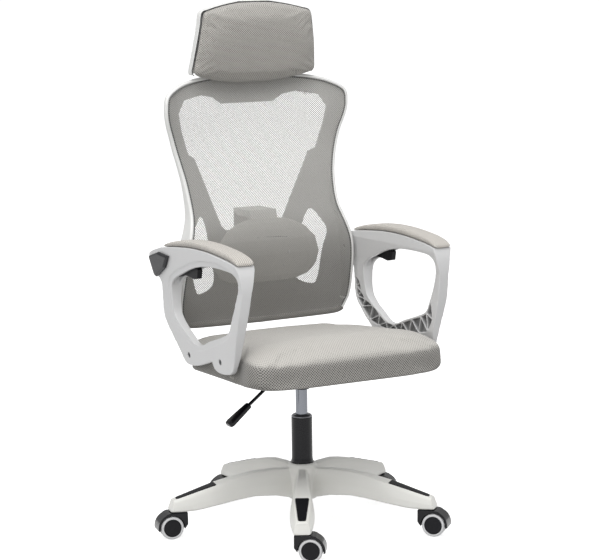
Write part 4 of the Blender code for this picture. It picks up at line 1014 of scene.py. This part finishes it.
def plate_shape():
    """A bowed sheet over the whole back, cut to the frame's outline and windows."""
    across = np.linspace(-0.25, 0.25, 33)
    rings = []
    for z in np.linspace(0.45, 1.06, 50):
        front = [Vector((x, plate_y(x, z), z)) for x in across]
        back = [Vector((x, plate_y(x, z) + PLATE_THICKNESS, z)) for x in reversed(across)]
        rings.append(front + back)
    side = curve(SIDE_WINDOW, 4, closed=True)
    windows = [mirrored(UPPER_WINDOW), side, [(-x, z) for x, z in side]]
    edge = prism(offset_outline(back_outline(4, 24), 0.004), "Y", 0.05, 0.4)
    cuts = [("DIFFERENCE", prism(window, "Y", 0.0, 0.5)) for window in windows]
    return combine(loft(rings), ("INTERSECT", edge), *cuts)


def back_frame_shape():
    boss_front = plate_y(0, 1.0) + 0.0005
    boss = [(-0.052, 0.984), (0.052, 0.984), (0.06, 1.04), (-0.06, 1.04)]
    slot = [(-0.0304, 0.9), (0.0304, 0.9), (0.0304, 1.1), (-0.0304, 1.1)]
    steps = [
        ("UNION", plate_shape()),
        ("UNION", prism(boss, "Y", boss_front, boss_front + 0.03)),
        ("DIFFERENCE", prism(slot, "Y", boss_front + 0.0122, boss_front + 0.0198)),
    ]
    for way in (-1, 1):
        lug = rod((way * 0.22, HINGE_Y, HINGE_Z), (way * 0.2328, HINGE_Y, HINGE_Z), 0.016, 32)
        bore = rod((way * 0.219, HINGE_Y, HINGE_Z), (way * 0.26, HINGE_Y, HINGE_Z), HINGE_BORE, 16)
        steps += [("UNION", lug), ("DIFFERENCE", bore)]
    return combine(rim_shape(), *steps)


def mesh_half(z):
    """Half-width of the mesh at a height, all the way to its rounded corners."""
    if z < CORNER_LOW:
        low = curve(BACK_BOTTOM, 6)
        return float(np.interp(z, [p[1] for p in low], [p[0] for p in low]))
    if z > CORNER_HIGH:
        high = curve(BACK_TOP, 6)[::-1]
        return float(np.interp(-z, [-p[1] for p in high], [p[0] for p in high]))
    return back_half(z)


def build_net():
    """The open fabric, one sheet, with the dotted cord that holds it in the rim's groove."""
    bottom = np.linspace(0.4676, 0.5, 12)
    top = np.concatenate([np.linspace(0.99, 1.03, 12), np.linspace(1.0325, 1.0412, 7)])
    rows = []
    for z in (*bottom, *np.linspace(0.508, 0.982, 56), *top):
        half = mesh_half(z)
        across = np.linspace(-half, half, NET_CELLS + 1)
        rows.append([Vector((x, fabric_y(x, z) + 0.0011, z)) for x in across])
    vertices = [v for row in rows for v in row]
    faces = []
    for i in range(len(rows) - 1):
        for j in range(NET_CELLS):
            a = i * (NET_CELLS + 1) + j
            b = a + NET_CELLS + 1
            faces.append((a, a + 1, b + 1, b))
    sheet = loose_object((vertices, faces), "net")
    add_weave_map(sheet.data)
    finished(sheet, "back_net", NET, "back_mesh", smooth=None)
    build_groove_cord()


def tube(points, wide, deep):
    """An oval cord along a line that lies roughly in the back's plane."""
    rings = []
    for i, at in enumerate(points):
        along = (points[min(i + 1, len(points) - 1)] - points[max(i - 1, 0)]).normalized()
        side = along.cross(Vector((0, 1, 0))).normalized()
        out = side.cross(along).normalized()
        turns = [2 * math.pi * k / CORD_SIDES for k in range(CORD_SIDES)]
        rings.append([at + side * math.cos(turn) * wide + out * math.sin(turn) * deep for turn in turns])
    return loft(rings)


def build_groove_cord():
    """Along the sides and the top. At the bottom the fabric goes round the rim instead."""
    line = [p for p in offset_outline(back_outline(10, 90), -0.0006) if p[1] > CORD_LOW]
    points = [Vector((x, fabric_y(x, z) - 0.0002, z)) for x, z in line]
    steps = [0.0] + [(b - a).length for a, b in zip(points, points[1:])]
    lengths = np.repeat(np.cumsum(steps), CORD_SIDES)
    cord = loose_object(tube(points, 0.0017, 0.0012), "groove_cord")
    layer = cord.data.uv_layers.new(name="weave")
    for loop in cord.data.loops:
        layer.data[loop.index].uv = (lengths[loop.vertex_index], 0.0)
    finished(cord, "groove_cord", BEADING, "back_mesh", slot="dark_plastic", extra=True, smooth=None)


def build_hem():
    """The mesh's lower edge, drawn down over the rim and under it."""
    outline = back_outline(8, 44)
    low = -RIM_WIDTH - 0.0012
    outer = ((0.0006, 0.005), (-0.0026, 0.002), (-0.0034, -0.0045), (-0.0018, low + 0.001), (0.003, low))
    inner = ((0.003, low + 0.001), (-0.0022, -0.0045))
    rises = {rise for _, rise in (*outer, *inner)} | {low + 0.001}
    moved_in = {rise: offset_outline(outline, -rise) for rise in rises}
    places = [i for i, (_, z) in enumerate(outline) if z < HEM_TOP]
    left = [i for i in places if outline[i][0] < 0]
    rings = []
    for i in left + [i for i in places if outline[i][0] >= 0]:
        x, z = outline[i]
        front = fabric_y(x, z)
        under = rim_depth(z) * 0.7
        section = (*outer, (under, low), (under, low + 0.001), *inner)
        rings.append([Vector((moved_in[rise][i][0], front + y, moved_in[rise][i][1])) for y, rise in section])
    hem = loose_object(loft(rings), "hem")
    add_weave_map(hem.data)
    finished(hem, "back_hem", HEM_FABRIC, "back_mesh", extra=True, smooth=60.0)


def net_shadow(points, normals):
    """A painted shadow of the mesh: how much the frame's front is darkened behind the mesh, the rim's inner
    wall with it.
    """
    depth = np.array([p[1] - fabric_y(p[0], p[2]) for p in points])
    sunk = depth > 0.0025
    reach = np.array([mesh_half(z) for z in points[:, 2] + 0.003 * sunk]) + np.where(sunk, 0.003, -0.0005)
    within = np.abs(points[:, 0]) < reach
    strength = np.interp(points[:, 2], (0.58, 0.72, 0.9, 0.98), (0.88, 0.27, 0.15, 0.0))
    return (depth > -0.0005) * within * (normals[:, 1] < 0.3) * strength


def build_backrest():
    shape = back_frame_shape()
    frame_moulding = rounded("back_frame_moulding", "back_frame", 0.0014, 5, WHITE, keep=0.3, shape=shape)
    # The frame's front behind the mesh gets a painted shadow.
    mark_painted_shade(frame_moulding, net_shadow)
    build_net()
    build_hem()
    pad = rounded("lumbar_support", "lumbar_pad", 0.0012, 8, GREY_MOULDED, keep=0.35)
    rounded("lumbar_hook", "lumbar_bracket", 0.001, 3, PALE_MOULDED)
    build_lumbar_details(pad)


def build_lumbar_details(pad):
    """Two small screw heads and a seam line on the front of the lumbar support."""
    points = [v.co - COLUMN_AT for v in pad.data.vertices]

    def front_at(x, z):
        return min(p.y for p in points if abs(p.x - x) < 0.003 and abs(p.z - z) < 0.003)

    for i, (x, z) in enumerate(LUMBAR_SCREWS, 1):
        profile = [(0.0, -0.004), (0.0026, -0.004), (0.0026, 0.0002), (0.0018, 0.0008), (0.0, 0.0008)]
        spot = Matrix.Translation((x, front_at(x, z), z)) @ Matrix.Rotation(math.pi / 2, 4, "X")
        head = moved(turned(profile, 24), spot)
        crisp(f"lumbar_screw_{i}", head, BRIGHT_STEEL, "lumbar_pad", extra=True)
    seam = [Vector((x, front_at(x, z) + 0.0002, z)) for x, z in curve(LUMBAR_SEAM, 8)]
    line = loose_object(tube(seam, 0.0006, 0.0006), "lumbar_seam")
    finished(line, "lumbar_seam", BLACK_GRAINED, "lumbar_pad", extra=True, smooth=None)


# ---- Headrest ----
HEAD_LOW = 1.029
HEAD_HIGH = 1.2175
head_half = smooth_value(
    (1029, 35), (1032, 70), (1037, 105), (1044, 138), (1051, 157), (1060, 162.5), (1080, 160.5), (1123, 155),
    (1165, 148.5), (1194, 143), (1201, 124), (1207, 100), (1212.5, 72), (1217.5, 40),
)
head_front = smooth_value((1029, 199), (1060, 190), (1123, 176), (1180, 170), (1217.5, 176))
HEAD_SLACK = 0.001
HEAD_MIDDLE = 0.0195  # from the cushion's front to half its depth
HEAD_DEPTH = 0.036
HEAD_WRAP = 0.01  # how far the cushion's sides come forward
HEAD_LIP_LOW = 1.049


def head_wrap(x):
    return HEAD_WRAP * (x / 0.155) ** 2


def headrest_bag():
    rings = []
    low = HEAD_LOW + 0.001 + 0.018 * np.linspace(0, 1, 12) ** 1.5
    high = HEAD_HIGH - 0.001 - 0.02 * np.linspace(1, 0, 12) ** 1.5
    rows = np.concatenate([low, np.linspace(1.053, 1.193, 26), high])
    for z in rows:
        edge = min(z - HEAD_LOW, HEAD_HIGH - z) / 0.016
        thin = 0.5 + 0.5 * math.sqrt(max(1 - (1 - min(edge, 1.0)) ** 2, 0.0))
        half = head_half(z) - HEAD_SLACK
        ring = []
        for x, depth in oval(half, -0.5, 0.5, 3.0, 56):
            middle = head_front(z) + HEAD_MIDDLE - head_wrap(x)
            ring.append(Vector((x, middle + depth * thin * (HEAD_DEPTH - HEAD_SLACK), z)))
        rings.append(ring)
    return loft(rings)


def head_outline(distance):
    """The headrest's outline, moved outwards, without its lower edge."""
    side = [(head_half(z), z) for z in np.linspace(HEAD_LOW, HEAD_HIGH, 80)]
    line = offset_outline(side + [(-x, z) for x, z in reversed(side)], distance)
    return [p for p in line if p[1] > HEAD_LIP_LOW]


def head_point(x, z, depth):
    return Vector((x, head_front(z) + depth - head_wrap(x), z))


def head_lip():
    """The edge of the shell, which comes forward round the cushion's sides and top."""
    rings = []
    for (ix, iz), (ox, oz) in zip(head_outline(0.0008), head_outline(0.0034)):
        inner = [head_point(ix, iz, depth) for depth in (0.0265, 0.043)]
        outer = [head_point(ox, oz, depth) for depth in (0.044, 0.0275)]
        rings.append(inner + outer)
    return loft(rings)


def build_head_piping():
    """The dark seam where the cushion's cover goes into the shell."""
    points = [head_point(x, z, 0.0262) for x, z in head_outline(0.001)]
    piping = loose_object(tube(points, 0.0011, 0.0011), "piping")
    add_weave_map(piping.data)
    finished(piping, "headrest_piping", PIPING, "headrest_cushion", extra=True, smooth=None)


def is_head_held(point):
    return point[1] > head_point(point[0], point[2], 0.024).y


def build_headrest():
    bag = headrest_bag()
    cushion("headrest_upholstery", "headrest_cushion", bag, HEADREST_FABRIC_PAINTED_SHADE, 0.0038, 0.004, is_head_held, rounds=2)
    vertices, faces = cad_shape("headrest_shell")
    lip_vertices, lip_faces = head_lip()
    faces += [tuple(i + len(vertices) for i in face) for face in lip_faces]
    shape = (vertices + lip_vertices, faces)
    rounded("headrest_back", "headrest_shell", 0.001, 3, WHITE, keep=0.35, shape=shape)
    build_head_piping()
    rounded("headrest_stem", "headrest_post", 0.0012, 4, WHITE)


# ---- Stage ----
FLOOR_HALF = 30.0
FLOOR_HEIGHT = -0.0005
CAMERA_AZIMUTH = -29.969
CAMERA_DISTANCE = 4.8995
CAMERA_HEIGHT = 1.3252
CAMERA_ROLL = -0.7258
CAMERA_LENS = 128.727
TARGET_HEIGHT = 0.5824


def build_stage():
    half = FLOOR_HALF
    corners = ((-half, -half), (half, -half), (half, half), (-half, half))
    floor = loose_object(([Vector((x, y, FLOOR_HEIGHT)) for x, y in corners], [(0, 1, 2, 3)]), "floor")
    made, tree, shader = blank("pale floor")
    at = node(tree, "ShaderNodeTexCoord").outputs["Object"]
    drift = noise(tree, at, 1.5)
    look = {
        "Base Color": mix(tree, drift, (0.93, 0.93, 0.93, 1), (0.95, 0.95, 0.95, 1)),
        "Roughness": 0.9,
        "Specular IOR Level": 0.1,
        "Emission Color": (1, 1, 1, 1),
        "Emission Strength": 0.6,
    }
    feed(tree, shader, look)
    floor.data.materials.append(made)
    floor.visible_diffuse = False


def area_light(name, at, target, size, power):
    lamp = bpy.data.lights.new(name, "AREA")
    lamp.shape = "DISK"
    lamp.size = size
    lamp.energy = power
    obj = bpy.data.objects.new(name, lamp)
    bpy.context.scene.collection.objects.link(obj)
    obj.location = at
    obj.rotation_mode = "QUATERNION"
    obj.rotation_quaternion = (Vector(target) - Vector(at)).to_track_quat("-Z", "Y")


def build_light():
    world = bpy.data.worlds.new("studio")
    world.use_nodes = True
    tree = world.node_tree
    tree.nodes.clear()
    at = node(tree, "ShaderNodeTexCoord").outputs["Generated"]
    height = node(tree, "ShaderNodeSeparateXYZ", {"Vector": at}).outputs["Z"]
    glow = spread(tree, height, -0.4, 0.9, 0.44, 0.72)
    seen = node(tree, "ShaderNodeLightPath").outputs["Is Camera Ray"]
    strength = node(tree, "ShaderNodeMix", {0: seen, 2: glow, 3: 1.06}, data_type="FLOAT").outputs[0]
    background = node(tree, "ShaderNodeBackground", {"Color": (1.0, 1.0, 1.0, 1.0), "Strength": strength})
    out = node(tree, "ShaderNodeOutputWorld")
    tree.links.new(background.outputs[0], out.inputs[0])
    bpy.context.scene.world = world
    area_light("top", (-0.8, -1.2, 3.4), (0, 0, 0.5), 2.6, 62.0)
    area_light("front", (-3.4, -3.0, 1.9), (0, 0, 0.7), 2.2, 26.0)


def build_camera():
    """Seen from the front and the chair's right, a little from above."""
    azimuth = math.radians(CAMERA_AZIMUTH)
    aside = math.sin(azimuth) * CAMERA_DISTANCE
    ahead = -math.cos(azimuth) * CAMERA_DISTANCE
    eye = COLUMN_AT + Vector((aside, ahead, CAMERA_HEIGHT))
    target = COLUMN_AT + Vector((0, 0, TARGET_HEIGHT))
    roll = math.radians(CAMERA_ROLL)
    forward = (target - eye).normalized()
    right = forward.cross(Vector((0, 0, 1))).normalized()
    up = right.cross(forward)
    turned_right = right * math.cos(roll) + up * math.sin(roll)
    turned_up = up * math.cos(roll) - right * math.sin(roll)
    lens = bpy.data.cameras.new("camera")
    lens.lens = CAMERA_LENS
    lens.sensor_width = 36.0
    lens.clip_end = 100.0
    camera = bpy.data.objects.new("camera", lens)
    bpy.context.scene.collection.objects.link(camera)
    rows = Matrix((turned_right, turned_up, -forward)).transposed()
    camera.matrix_world = Matrix.Translation(eye) @ rows.to_4x4()
    bpy.context.scene.camera = camera


build_base()
build_casters()
build_seat()
build_arms()
build_backrest()
build_headrest()
build_stage()
build_light()
build_camera()
bpy.context.scene.view_settings.view_transform = "Standard"
